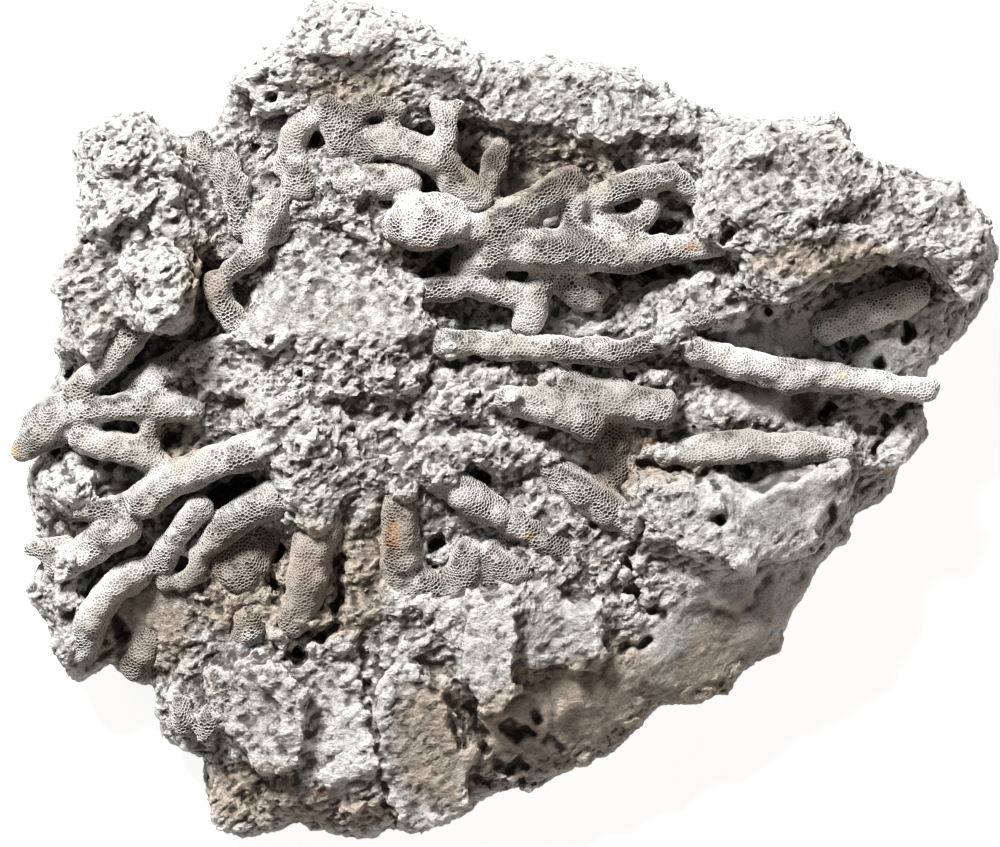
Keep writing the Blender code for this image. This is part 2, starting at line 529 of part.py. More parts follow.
def branch(name, route, swelling, collection):
    """A round branch along a route, thicker than its radii by the swelling."""
    curve = bpy.data.curves.new(name, "CURVE")
    curve.dimensions = "3D"
    curve.use_fill_caps = True
    curve.bevel_depth = 1
    curve.bevel_resolution = SIDES_SETTING
    points = smooth_route(route)
    spline = curve.splines.new("POLY")
    spline.points.add(len(points) - 1)
    for place, point in zip(spline.points, points):
        place.co = (*point.xyz, 1)
        place.radius = point.w * CORNER_SWELLING + swelling
    return curve_to_solid(name, curve, collection)


def boxes_meet(one, other):
    """Whether two objects' bounding boxes overlap."""
    corners = [[item.matrix_world @ Vector(corner) for corner in item.bound_box] for item in (one, other)]
    for axis in range(3):
        spans = [(min(c[axis] for c in box), max(c[axis] for c in box)) for box in corners]
        if spans[0][1] < spans[1][0] or spans[1][1] < spans[0][0]:
            return False
    return True


def build_matrix(pieces, cutters):
    """The stone: a slab under a mound, with ledges, lumps, hollows and a flat resting face."""
    foot = prism("foot", SILHOUETTE, 0, FOOT_TOP, cutters)
    foot.scale = (FOOT_SCALE, FOOT_SCALE, 1)
    solids = [foot, prism("slab", SILHOUETTE, SLAB_BOTTOM, SLAB_TOP, cutters)]
    solids.append(ellipsoid("mound", Lump(MOUND_CENTRE / MM, MOUND_RADII / MM), MOUND_FINENESS, cutters))
    for number, block in enumerate(STONE_BLOCKS):
        solids.append(tilted_block(f"block_{number}", block, cutters))
    for number, lump in enumerate(STONE_LUMPS):
        solids.append(ellipsoid(f"lump_{number}", lump, LUMP_FINENESS, cutters))
    stone = join("stone_matrix", solids)
    move_to(stone, pieces)
    fuse(stone, STONE_GRAIN)

    envelope = prism("envelope", SILHOUETTE, 0, ENVELOPE_TOP, cutters)
    hide_cutter(envelope)
    keep_inside(stone, envelope)

    hollows = join("hollows", [ellipsoid(f"hollow_{number}", hollow, LUMP_FINENESS, cutters)
                               for number, hollow in enumerate(HOLLOWS)])
    fuse(hollows, HOLLOW_GRAIN)
    hollows.data = evaluated_mesh(hollows)
    hollows.modifiers.clear()
    hide_cutter(hollows)
    cut(stone, hollows)

    weathering = bpy.data.textures.new("weathering", "CLOUDS")
    weathering.noise_scale = WEATHERING_SIZE
    weathering.noise_depth = WEATHERING_DETAIL
    displace = stone.modifiers.new("Weathering", "DISPLACE")
    displace.texture = weathering
    displace.strength = WEATHERING_DEPTH
    displace.mid_level = 0.5
    fuse(stone, STONE_GRAIN)

    thin = stone.modifiers.new("Thin", "DECIMATE")
    thin.use_collapse_triangulate = True
    thin.ratio = STONE_TRIANGLES / triangle_count(stone)

    bpy.ops.mesh.primitive_cube_add(size=1, location=(0, 0, REST_LEVEL - GROUND_DEPTH / 2))
    ground = bpy.context.object
    ground.name = "ground"
    ground.scale = (GROUND_WIDTH, GROUND_WIDTH, GROUND_DEPTH)
    move_to(ground, cutters)
    hide_cutter(ground)
    cut(stone, ground)
    return stone


def triangle_count(item):
    """How many triangles an object's evaluated mesh has."""
    mesh = evaluated_mesh(item)
    mesh.calc_loop_triangles()
    return len(mesh.loop_triangles)


def build_coral(pieces, cutters):
    """The branches, each cut clear of those before it, and the grooves that they lie in."""
    branches = {}
    grooves = {}
    for name, route in CORAL.items():
        piece = branch(name, route, 0, pieces)
        for other, groove in grooves.items():
            if boxes_meet(piece, groove):
                cut(piece, groove)
        branches[name] = piece
        grooves[name] = branch(name + "_groove", route, CLEARANCE, cutters)
        hide_cutter(grooves[name])
    return branches, grooves


def settle(items):
    """Move the whole specimen so that the origin is at the foot of its middle."""
    bpy.context.view_layer.update()
    corners = [item.matrix_world @ Vector(corner) for item in items for corner in item.bound_box]
    low = Vector([min(corner[axis] for corner in corners) for axis in range(3)])
    high = Vector([max(corner[axis] for corner in corners) for axis in range(3)])
    shift = Vector((-(low.x + high.x) / 2, -(low.y + high.y) / 2, -low.z))
    for item in items:
        item.matrix_world = Matrix.Translation(shift) @ item.matrix_world


def build():
    """Build the fossil coral head."""
    clear_scene()
    pieces = new_collection("fossil_coral_head")
    cutters = new_collection("cutters")
    stone = build_matrix(pieces, cutters)
    branches, grooves = build_coral(pieces, cutters)
    for groove in grooves.values():
        cut(stone, groove)
    for item in branches.values():
        finish_piece(item, CORAL_COLOUR)
    finish_piece(stone, STONE_COLOUR)
    settle([stone, *branches.values()])


build()
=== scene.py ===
"""Fossil coral head: the looks of the specimen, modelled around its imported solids."""
import math

import bpy
import numpy as np
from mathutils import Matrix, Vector, noise
from mathutils.bvhtree import BVHTree


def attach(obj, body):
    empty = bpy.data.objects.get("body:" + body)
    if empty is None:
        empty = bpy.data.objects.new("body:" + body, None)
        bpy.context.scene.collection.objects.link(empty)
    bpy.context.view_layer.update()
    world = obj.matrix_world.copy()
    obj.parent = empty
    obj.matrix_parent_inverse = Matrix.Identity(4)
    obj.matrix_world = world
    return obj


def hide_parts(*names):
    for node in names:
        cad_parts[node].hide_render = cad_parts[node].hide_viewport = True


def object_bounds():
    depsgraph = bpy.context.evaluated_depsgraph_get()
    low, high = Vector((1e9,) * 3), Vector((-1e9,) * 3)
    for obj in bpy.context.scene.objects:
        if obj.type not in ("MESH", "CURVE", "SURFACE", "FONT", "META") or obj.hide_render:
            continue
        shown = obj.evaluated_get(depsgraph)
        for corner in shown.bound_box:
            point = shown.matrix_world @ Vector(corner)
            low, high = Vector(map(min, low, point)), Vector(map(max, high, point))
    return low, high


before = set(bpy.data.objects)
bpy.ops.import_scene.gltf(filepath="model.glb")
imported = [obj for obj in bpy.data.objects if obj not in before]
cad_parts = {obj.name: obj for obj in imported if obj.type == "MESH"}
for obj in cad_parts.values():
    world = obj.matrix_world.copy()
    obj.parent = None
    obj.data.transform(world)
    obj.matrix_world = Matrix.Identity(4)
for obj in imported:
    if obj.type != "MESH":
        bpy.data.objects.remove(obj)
cad_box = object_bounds()
MM = 0.001


# ---------------------------------------------------------------- the table, the light and the camera
# The specimen lies on a plain white sheet, on its flat back. A broad window light comes low from the upper
# left and rakes across the coral, and the camera hangs straight above.

def only(*objects):
    """Select these objects and nothing else, with the first one active."""
    bpy.ops.object.select_all(action="DESELECT")
    for item in objects:
        item.select_set(True)
    bpy.context.view_layer.objects.active = objects[0]


class Socket:
    """A number, colour or vector in a material, so that shader maths reads as an expression."""

    def __init__(self, finish, link):
        self.finish = finish
        self.link = link

    def math(self, operation, other):
        return self.finish.node("ShaderNodeMath", {"operation": operation}, {0: self, 1: other})

    def __add__(self, other):
        return self.math("ADD", other)

    def __mul__(self, other):
        return self.math("MULTIPLY", other)

    def __sub__(self, other):
        return self.math("SUBTRACT", other)

    def __rsub__(self, other):
        return (self * -1) + other

    def between(self, low, high):
        """0 below low, 1 above high, and smooth between them."""
        settings = {"interpolation_type": "SMOOTHSTEP"}
        inputs = {"Value": self, "From Min": low, "From Max": high}
        return self.finish.node("ShaderNodeMapRange", settings, inputs)


class Finish:
    """A material under way: one method adds every node that it needs."""

    def __init__(self, name):
        self.material = bpy.data.materials.new(name)
        self.material.use_nodes = True
        self.tree = self.material.node_tree
        self.shader = self.tree.nodes["Principled BSDF"]
        self.place = self.node("ShaderNodeTexCoord", {}, {}, "Object")

    def node(self, kind, settings, inputs, output=0):
        """A node with these settings and inputs, as one of its outputs."""
        made = self.tree.nodes.new(kind)
        for name, value in settings.items():
            setattr(made, name, value)
        for name, value in inputs.items():
            self.feed(made.inputs[name], value)
        return Socket(self, made.outputs[output])

    def feed(self, socket, value):
        """Link a socket to another, or give it a plain value."""
        if isinstance(value, Socket):
            self.tree.links.new(value.link, socket)
        elif socket.type == "RGBA" and len(value) == 3:
            socket.default_value = (*value, 1)
        else:
            socket.default_value = value

    def mix(self, one, other, share):
        """One colour turning to the other as the share goes from 0 to 1."""
        return self.node("ShaderNodeMix", {"data_type": "RGBA"}, {0: share, 6: one, 7: other}, 2)

    def paint(self, colour, coats):
        """A colour under coats of others, each of them a colour and its share."""
        for coat, share in coats:
            colour = self.mix(colour, coat, share)
        return colour

    def mottle(self, size, detail=6, roughness=0.6, warp=0.0):
        """Noise with spots of about this size, in metres."""
        inputs = {"Vector": self.place, "Scale": 1 / size, "Detail": detail, "Roughness": roughness,
                  "Distortion": warp}
        return self.node("ShaderNodeTexNoise", {}, inputs)

    def attribute(self, name):
        """A number that the mesh carries at its points."""
        return self.node("ShaderNodeAttribute", {"attribute_name": name}, {}, "Fac")

    def set(self, **values):
        """Feed the shader's inputs, whose names are written with _ for a space."""
        for name, value in values.items():
            self.feed(self.shader.inputs[name.replace("_", " ")], value)


# The view is 200 mm wide at the height where most of the coral lies.
CAMERA_HEIGHT = 1.5
CORAL_HEIGHT = 0.028
VIEW_WIDTH = 0.2
VIEW_CENTRE = (-0.33 * MM, -0.65 * MM)

camera_data = bpy.data.cameras.new("camera")
camera = bpy.data.objects.new("camera", camera_data)
bpy.context.scene.collection.objects.link(camera)
camera.location = (*VIEW_CENTRE, CAMERA_HEIGHT)
camera_data.sensor_fit = "HORIZONTAL"
camera_data.angle = 2 * math.atan(VIEW_WIDTH / 2 / (CAMERA_HEIGHT - CORAL_HEIGHT))
bpy.context.scene.camera = camera


LIGHT_DISTANCE = 1.6


def area_light(name, towards, size, power, colour):
    """A soft light that shines on the specimen from a direction, with its power in watts."""
    data = bpy.data.lights.new(name, "AREA")
    data.shape = "DISK"
    data.size = size
    data.energy = power
    data.color = colour
    light = bpy.data.objects.new(name, data)
    light.location = Vector(towards).normalized() * LIGHT_DISTANCE
    light.rotation_euler = Vector(towards).to_track_quat("Z", "Y").to_euler()
    bpy.context.scene.collection.objects.link(light)


area_light("window", towards=(-0.45, 0.8, 0.7), size=0.4, power=82, colour=(1, 0.99, 0.97))
area_light("bounce", towards=(0.5, -0.8, 0.6), size=0.8, power=6, colour=(1, 0.8, 0.62))

ROOM_COLOUR = (0.93, 0.96, 1, 1)
ROOM_STRENGTH = 0.14
room = bpy.data.worlds.new("room")
bpy.context.scene.world = room
room.use_nodes = True
room.node_tree.nodes["Background"].inputs["Color"].default_value = ROOM_COLOUR
room.node_tree.nodes["Background"].inputs["Strength"].default_value = ROOM_STRENGTH
bpy.context.scene.view_settings.view_transform = "Standard"

SHEET_SIZE = 4
bpy.ops.object.select_all(action="DESELECT")
bpy.ops.mesh.primitive_plane_add(size=SHEET_SIZE, location=(0, 0, cad_box[0][2]))
sheet = bpy.context.object
sheet.name = "table_sheet"
paper = Finish("white_paper")
paper.set(Base_Color=(0.3, 0.3, 0.3), Roughness=0.9, Emission_Color=(1, 1, 1), Emission_Strength=0.88)
sheet.data.materials.append(paper.material)


# ---------------------------------------------------------------- the stone
# A block of grey marly limestone. It broke and weathered along its bedding, so it has ledges, flakes and
# crumbling hollows on the face that the coral stands on, and a flat back.

def copy_nodes(name, nodes):
    """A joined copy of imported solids, with their loose triangles merged."""
    copies = []
    for node in nodes:
        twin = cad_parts[node].copy()
        twin.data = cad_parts[node].data.copy()
        twin.parent = None
        bpy.context.scene.collection.objects.link(twin)
        copies.append(twin)
    only(*copies)
    if len(copies) > 1:
        bpy.ops.object.join()
    copy = bpy.context.object
    copy.name = name
    copy.data.name = name
    copy.data.materials.clear()
    for key in list(copy.keys()):
        del copy[key]
    bpy.ops.object.mode_set(mode="EDIT")
    bpy.ops.mesh.select_all(action="SELECT")
    bpy.ops.mesh.remove_doubles(threshold=0.00001)
    bpy.ops.object.mode_set(mode="OBJECT")
    return copy


def new_piece(name, points, faces):
    """A piece from its points and faces."""
    mesh = bpy.data.meshes.new(name)
    mesh.from_pydata([tuple(point) for point in points], [], faces)
    mesh.update()
    piece = bpy.data.objects.new(name, mesh)
    bpy.context.scene.collection.objects.link(piece)
    return piece


def modify(piece, kind, **settings):
    """Add a modifier and apply it at once."""
    only(piece)
    modifier = piece.modifiers.new(kind.title(), kind)
    for name, value in settings.items():
        setattr(modifier, name, value)
    bpy.ops.object.modifier_apply(modifier=modifier.name)


def fuse(piece, grain):
    """Fuse a piece's overlapping bodies into one skin of even grain."""
    modify(piece, "REMESH", mode="VOXEL", voxel_size=grain)


def texture(kind, size, **settings):
    """A solid texture for displacement, with features of about this size."""
    made = bpy.data.textures.new(kind.lower(), kind)
    made.noise_scale = size
    for name, value in settings.items():
        setattr(made, name, value)
    return made


def roughen(piece, pattern, depth, middle=0.5, group="", lean=None):
    """Push a skin in and out by a solid texture, which may be drawn out along a helper's axes."""
    modify(piece, "DISPLACE", texture=pattern, strength=depth, mid_level=middle, vertex_group=group,
           texture_coords="OBJECT" if lean else "LOCAL", texture_coords_object=lean)


def read(items, name, kind=np.int32, width=1):
    """A value, or a row of values, for each vertex, edge, corner or face of a mesh."""
    values = np.empty(len(items) * width, dtype=kind)
    items.foreach_get(name, values)
    return values.reshape(-1, width) if width > 1 else values


def vertex_places(piece):
    return read(piece.data.vertices, "co", np.float32, 3).astype(float)


def vertex_normals(piece):
    return read(piece.data.vertices, "normal", np.float32, 3).astype(float)


def place_vertices(piece, places):
    piece.data.vertices.foreach_set("co", places.astype(np.float32).ravel())
    piece.data.update()


def smoothed(piece, values, rounds):
    """Values at the vertices, averaged with their neighbours again and again."""
    start, end = read(piece.data.edges, "vertices", width=2).T
    count = len(values)
    share = 1 / np.maximum(np.bincount(start, minlength=count) + np.bincount(end, minlength=count), 1)
    for _ in range(rounds):
        total = np.zeros_like(values)
        for column in range(values.shape[1]):
            total[:, column] = (np.bincount(start, weights=values[end, column], minlength=count)
                                + np.bincount(end, weights=values[start, column], minlength=count))
        values = 0.5 * values + 0.5 * total * share[:, None]
    return values


def store(piece, name, values):
    """Keep a number for each vertex, for the material to read."""
    layer = piece.data.attributes.new(name, "FLOAT", "POINT")
    layer.data.foreach_set("value", values.astype(np.float32))


def weigh(piece, name, weights):
    """A vertex group with its own weight for each vertex, in steps of a tenth."""
    group = piece.vertex_groups.new(name=name)
    steps = np.round(np.clip(weights, 0, 1) * 10).astype(int)
    for step in range(1, 11):
        members = np.flatnonzero(steps == step)
        if len(members):
            group.add(members.tolist(), step / 10, "REPLACE")


OVAL_EDGE = 1.25
OVAL_FADE = 0.5


def zone(places, ovals):
    """1 inside any of these ovals (x, y, x radius, y radius, any turn), falling to 0 round them; in mm."""
    inside = np.zeros(len(places))
    for x, y, width, height, *turn in ovals:
        across = places[:, :2] / MM - (x, y)
        angle = math.radians(turn[0]) if turn else 0
        along = across @ (math.cos(angle), math.sin(angle)) / width
        aside = across @ (-math.sin(angle), math.cos(angle)) / height
        reach = np.sqrt(along ** 2 + aside ** 2)
        inside = np.maximum(inside, np.clip((OVAL_EDGE - reach) / OVAL_FADE, 0, 1))
    return inside


def skin_tree(piece):
    return BVHTree.FromObject(piece, bpy.context.evaluated_depsgraph_get())


OVERHEAD = 90
LOWEST_GROUND = 4.0
DOWN = Vector((0, 0, -1))


def ground(trees, x, y):
    """The height of the highest skin above a place; all in mm."""
    hits = [tree.ray_cast(Vector((x, y, OVERHEAD)) * MM, DOWN)[0] for tree in trees]
    return max([hit.z / MM for hit in hits if hit] + [LOWEST_GROUND])


# Flakes and blocks that stand out of the face. Each is an outline of corners (x, y, how far it stands out),
# in millimetres, and lies on the ground that it covers like a thick crust.
CRUSTS = {
    "upper left block": [
        (-83, 58, 1.5), (-77, 61.5, 2), (-72, 58.5, 2.5), (-70.5, 54, 2), (-72.5, 46, 1.5), (-71, 41, 2.5),
        (-75.5, 39, 3), (-82, 36.5, 2.5), (-84.5, 44, 1), (-84, 52, 1)],
    "lower left flake": [
        (-75, 31.5, 1.5), (-68.5, 34, 2), (-62.5, 31.5, 3), (-61.5, 26, 3), (-64.5, 21, 2.5), (-69, 17, 3),
        (-71.5, 22, 2), (-73.5, 26, 1)],
    "left lump": [
        (-84, 17, 3.5), (-80.5, 19, 4), (-77, 17, 4), (-78, 12, 4), (-81.5, 9.5, 3.5)],
    "small left lump": [
        (-90, 17, 2.5), (-86.5, 18, 3), (-85.5, 14, 3.5), (-88.5, 11.5, 2.5)],
    "lump between forks": [
        (-90.5, -11, 1.5), (-86.5, -8, 2.5), (-81.5, -10, 2.5), (-80.5, -14.5, 2.5), (-83.5, -18.5, 2),
        (-89, -17.5, 1.5)],
    "low left lump": [
        (-92, -31, 1.5), (-88.5, -28, 2), (-84.5, -30, 2), (-85, -36, 2), (-89.5, -39, 1.5)],
    "top of ridge": [
        (-40.5, 79, 1), (-34.5, 82.5, 1.5), (-26.5, 82.5, 2), (-20.5, 79, 2), (-18.5, 75, 2.5),
        (-24.5, 72, 2), (-34.5, 72, 2), (-40.5, 74, 1.5)],
    "right of ridge": [
        (-20.5, 76, 1), (-12.5, 75, 1.5), (-5.5, 71.5, 2), (-6.5, 67, 2), (-14.5, 68, 2.5),
        (-19.5, 71.5, 2)],
    "left of ridge": [
        (-50.5, 70, 1), (-42.5, 72, 2), (-40.5, 67, 2.5), (-46.5, 63, 2), (-52.5, 65, 1)],
    "long ledge": [
        (-4.5, 70, 1), (7.5, 69, 1.5), (17.5, 71, 2), (27.5, 68, 2), (37.5, 62, 1.5), (37.5, 56.5, 3),
        (27.5, 56.5, 3.5), (13.5, 55, 3.5), (8.5, 58.5, 3), (-0.5, 58.5, 3), (-8, 61, 2.5)],
    "right block": [
        (41, 51.5, 1), (45, 56.5, 2), (51, 58.5, 2.5), (58, 60, 3), (66.5, 60, 3), (68, 55.5, 3),
        (73, 51.5, 2.5), (80, 50, 2), (88, 47, 2), (94, 41.5, 1.5), (84, 41, 0.5), (70, 42.5, 1),
        (57, 37.5, 2), (45, 40.5, 1.5)],
    "front of right block": [
        (50, 41.5, 0.5), (66, 38.5, 2), (79, 40, 2), (93, 41.5, 1.5), (97, 34.5, 1.5), (93, 27, 0.6),
        (87, 29.5, 0.3), (79.5, 32, 0.3), (71, 31.5, 1), (61, 27, 1.6), (52, 26.5, 2), (48, 33.5, 1)],
    "right shoulder": [
        (79, 47.5, 1), (90, 44.5, 1.5), (97, 37.5, 1.5), (95, 45.5, 1), (86, 49.5, 1)],
    "pale flake": [
        (-53, 21.5, 0.3), (-49, 24.5, 0.3), (-36, 27.5, 0.3), (-22, 28, 0.5), (-16, 24.5, 2),
        (-12.5, 18.5, 3), (-17, 17, 3), (-23, 14.5, 2.5), (-29, 16.5, 2.5), (-38, 14, 2),
        (-46.5, 16.5, 1.5), (-52, 17.5, 0.5)],
    "middle left lump": [
        (-48, 2, 1), (-42.5, 4, 2), (-35.5, 3, 2), (-33.5, -4, 3), (-34.5, -12, 3), (-38.5, -20, 2),
        (-43.5, -16, 2.5), (-46.5, -8, 2)],
    "middle lump": [
        (-31.5, -10, 1), (-27.5, -7.5, 2), (-23.5, -10, 2), (-24, -19, 2), (-29.5, -21, 1.5)],
    "middle crust": [
        (-14.5, -4, 2), (-6.5, -2.5, 2.5), (3.5, -4, 3), (7.5, -9, 2.5), (-0.5, -12, 2), (-10.5, -10, 2)],
    "upper middle crust": [
        (-33.5, 14, 1), (-24.5, 15, 1.5), (-14.5, 13, 2), (-16.5, 6, 2), (-26.5, 4, 1.5), (-32.5, 7, 1)],
    "right middle crust": [
        (-11.5, 12, 1), (-0.5, 13, 1.5), (5.5, 8, 2), (2.5, 0, 2.5), (-6.5, -1, 2), (-11.5, 5, 1.5)],
    "lower left plate": [
        (-68.5, -52, 1), (-62.5, -47, 1.5), (-56.5, -52, 1.5), (-57.5, -62, 1.5), (-63.5, -63, 1)],
    "flat slab": [
        (28.5, -12, 1.5), (39.5, -8.5, 1.5), (52.5, -15, 2), (59.5, -11.5, 2), (66.5, -8.5, 1),
        (65.5, -16, 1.5), (62.5, -27, 2), (49.5, -29, 2), (37.5, -28, 2), (29.5, -22, 2)],
    "step below slab": [
        (37.5, -30, 1), (45.5, -28.5, 2), (52.5, -32, 2), (47.5, -38, 1.5), (39.5, -36, 1.5)],
    "right plate": [
        (69.5, 18, 1), (79.5, 19, 1.5), (85, 15, 1.5), (86, 4, 1), (79.5, 2, 1.5), (72.5, 8, 1)],
    "right flap": [
        (78, 1.5, 2), (85, 3, 1.5), (85, -4, 1.5), (79.5, -7, 2)],
}

# Marl that still clings over the roots of the branches, as outlines like those of the flakes.
CLINGING = {
    "middle knot": [
        (-53, -2, 1.6), (-50, 3, 2), (-46, 4, 2.4), (-40, 5, 2.6), (-34.5, 2.5, 2), (-32.5, -6.5, 2),
        (-32, -16, 2), (-34, -22.5, 2.4), (-41, -22, 2), (-45, -14, 1.8), (-49, -8, 1.6)],
    "upper knot": [
        (-64, 1, 1.6), (-61, 6, 2), (-53, 7, 2.2), (-48, 2, 2), (-52, -3, 1.6), (-59, -3, 1.6)],
    "flake foot": [
        (-18, 19, 1.6), (-11, 18, 2.4), (-6, 14, 2), (-11, 10.5, 1.6), (-18, 12.5, 1.6)],
    "strand top": [
        (-26, -8, 2), (-20, -6, 2.4), (-15, -9, 2), (-17, -15, 1.5), (-23, -14.5, 1.6)],
    "cup top": [
        (-17, -4, 2), (-9, -5, 2.4), (-5.5, -10, 2), (-11.5, -13.5, 1.4), (-17, -11, 1.8)],
    "left block foot": [
        (-69, 10, 1.8), (-63, 13.5, 2.6), (-57, 11, 2), (-56, 5, 2), (-62, 3.5, 1.8), (-68, 5, 1.5)],
    "hook foot": [
        (-52, 17, 1.4), (-46, 17.5, 2), (-41, 13, 2), (-47, 11, 1.6)],
    "fork root": [
        (-2, -1, 2), (6, -3, 2.2), (11, -8, 2), (5, -10.5, 1.4), (-2, -6.5, 1.6)],
    "finger root": [
        (31, 22, 1.2), (37.5, 20.5, 2), (40.5, 15.5, 1.6), (35, 12, 1.4), (30, 15, 1.6)],
    "slab root": [
        (29, -4, 1.8), (36, -4.5, 2), (36, -10.5, 1.8), (29, -10.5, 1.4)],
    "column foot": [
        (-46, -40, 1.6), (-38, -41, 2), (-36, -48, 2), (-44, -49, 1.6)],
    "blunt finger root": [
        (-4, 5.5, 2), (-3, 10, 2.4), (2, 11, 2.4), (5, 7.5, 2), (3, 3.5, 1.8), (-2, 2.5, 1.8)],
    "broad branch root": [
        (6, 12, 1.4), (12, 12.5, 1.8), (13, 8, 1.2), (8, 8, 1.2)],
    "shelf knot": [
        (-35.5, 52, 1.8), (-29, 52.5, 1.8), (-26.5, 47.5, 1.6), (-24, 43, 2), (-22.5, 38, 2),
        (-27.5, 35, 2), (-34, 39, 1.8), (-36, 46, 1.8)],
    "bar root": [
        (-21, 30, 1.6), (-16, 30.5, 2), (-13.5, 26, 1.6), (-17, 23.5, 1.6), (-21, 25, 1.6)],
    "cup foot": [
        (-25, -33.5, 1.5), (-16, -35, 1.8), (-8, -35.5, 1.8), (0, -33.5, 1.6), (8, -32, 1.8),
        (12, -35, 1.6), (0, -39, 1.6), (-12, -40, 1.6), (-23, -39, 1.6)],
    "coarse foot": [
        (24, -18, 1), (29, -18.5, 1.6), (30.5, -23.5, 1.6), (26, -25, 1.4), (22.5, -22.5, 1)],
    "ring root": [
        (-45, 52, 1.2), (-41, 54, 1.2), (-38, 50, 1.4), (-40.5, 47, 1.4), (-45, 48, 1.4)],
    "bough foot": [
        (-92, -27, 1.2), (-87.5, -24.5, 1.4), (-84, -28, 1), (-88.5, -31.5, 1.2)],
}

# Rubble and marl that slope down into the recesses, and plates that split off flat along the bedding, as
# outlines of corners (x, y, height) in millimetres.
FILLINGS = {
    "below the flake": [
        (-63.3, 13.7, 32), (-57.3, 17, 35.5), (-50.3, 18, 37.5), (-40.3, 17, 38.5), (-31.3, 16, 39),
        (-22.3, 16, 39), (-24.3, 9, 37.5), (-30.3, 4, 37), (-40.3, 4, 36), (-46.3, 5, 35.5),
        (-52.3, 4.5, 34), (-59.3, 5, 32.5)],
    "brown foot": [
        (-47.9, -76, 17), (-40.3, -75.4, 19.5), (-31.3, -72.5, 22), (-23.9, -70, 24), (-21.9, -76, 20.5),
        (-20.7, -82.4, 15.5), (-28.3, -83.2, 14.5), (-34.3, -82, 14.5), (-40.3, -80.4, 14.5),
        (-45.3, -79.6, 14.5)],
    "lower block": [
        (-23.9, -51.5, 29), (-19.9, -47.9, 30.5), (-16.7, -49.5, 30), (-9.3, -53.9, 28.5),
        (-9.9, -58.3, 27), (-7.3, -62.9, 25.5), (-4.7, -65.9, 24), (-7.3, -73.9, 21.5),
        (-7.1, -77.5, 20.5), (-10.3, -80.3, 19.5), (-19.3, -82.9, 18.5), (-21.9, -75.9, 21),
        (-23.3, -67.9, 23.5), (-25.3, -59.9, 26.5)],
    "jagged plate": [
        (-60.3, -49.6, 24), (-55.3, -48.4, 26), (-47.9, -49, 28), (-43.3, -49.6, 28.5), (-39.7, -54, 28.5),
        (-40.3, -60, 27.5), (-38.7, -65, 27), (-40.3, -69.6, 26), (-43.3, -71, 25), (-47.9, -72, 23.5),
        (-51.3, -70, 23), (-52.3, -66, 23), (-54.7, -63, 22.5), (-57.3, -59, 22.5), (-59.3, -55, 23)],
    "blue grey face": [
        (-36.7, -54, 23.5), (-33.3, -48, 25.5), (-29.9, -46, 26.5), (-27.3, -52, 26.5), (-25.9, -60, 25.5),
        (-23.3, -70, 25), (-25.9, -71, 24.5), (-31.3, -71.6, 23), (-36.3, -73.4, 21.5), (-40.3, -75.4, 20),
        (-43.7, -77, 18.5), (-47.9, -76, 17.5), (-45.3, -72, 17.5), (-40.3, -71, 19), (-38.3, -66, 21),
        (-39.1, -60, 22)],
    "bright plate": [
        (-7.9, -40.4, 32.5), (-3.3, -36.4, 34.5), (-0.3, -35.6, 35), (2.1, -39.6, 34.5), (3.3, -44, 34),
        (2.1, -49, 33), (4.1, -54, 31.5), (2.7, -56, 31), (-2.3, -58.4, 29), (-4.3, -58.4, 28.5),
        (-6.3, -54, 29.5), (-8.7, -48, 31)],
    "grey plate": [
        (3.3, -38.4, 32), (8.7, -35.6, 31.5), (15.7, -36, 31), (19.3, -38.4, 30.5), (19.7, -44, 29.5),
        (21.7, -48, 28.5), (17.7, -50.4, 28), (11.7, -49.6, 28.5), (6.7, -50.4, 28.5), (4.1, -48, 29.5)],
    "under the ridge": [
        (-50, 64, 41.5), (-46, 70, 43.5), (-36, 73, 44.5), (-24, 74, 44.5), (-10, 73.5, 44), (-4, 67, 42),
        (-6, 60, 38), (-18, 58, 37.5), (-28, 60, 39), (-38, 61, 40), (-46, 60, 40)],
    "slab ridge": [
        (47.7, -17.9, 34.5), (52.7, -14.3, 35.5), (59.7, -11.1, 34.5), (67.3, -7.9, 32.5),
        (69.7, -9.9, 31.5), (64.7, -13.9, 32.5), (57.7, -16.9, 33.5), (51.7, -18.9, 34)],
    "before the ledge": [
        (-7, 61, 36), (0, 58.5, 37), (9, 58.5, 37), (14, 55.5, 36.5), (28, 56.5, 36.5), (38, 56, 36.5),
        (41, 48, 34.5), (38.5, 41, 31.5), (28, 41, 31), (18, 44, 31), (8, 47, 31.5), (-2, 44, 31),
        (-9, 49, 31.5), (-10, 55, 33.5)],
    "behind the boughs": [
        (-20, 39, 34), (-12, 38, 32.5), (-6, 36, 31.5), (-4, 28, 31.5), (-12, 26, 33), (-20, 30, 35)],
}


CRUST_RINGS = (1, 0.93, 0.78, 0.55, 0.3)
RIM_STEP = 1.6
RIM_WANDER = 0.45
RIM_SCATTER = 0.2
RIM_DROP = 0.3
FILLING_DEPTH = 14


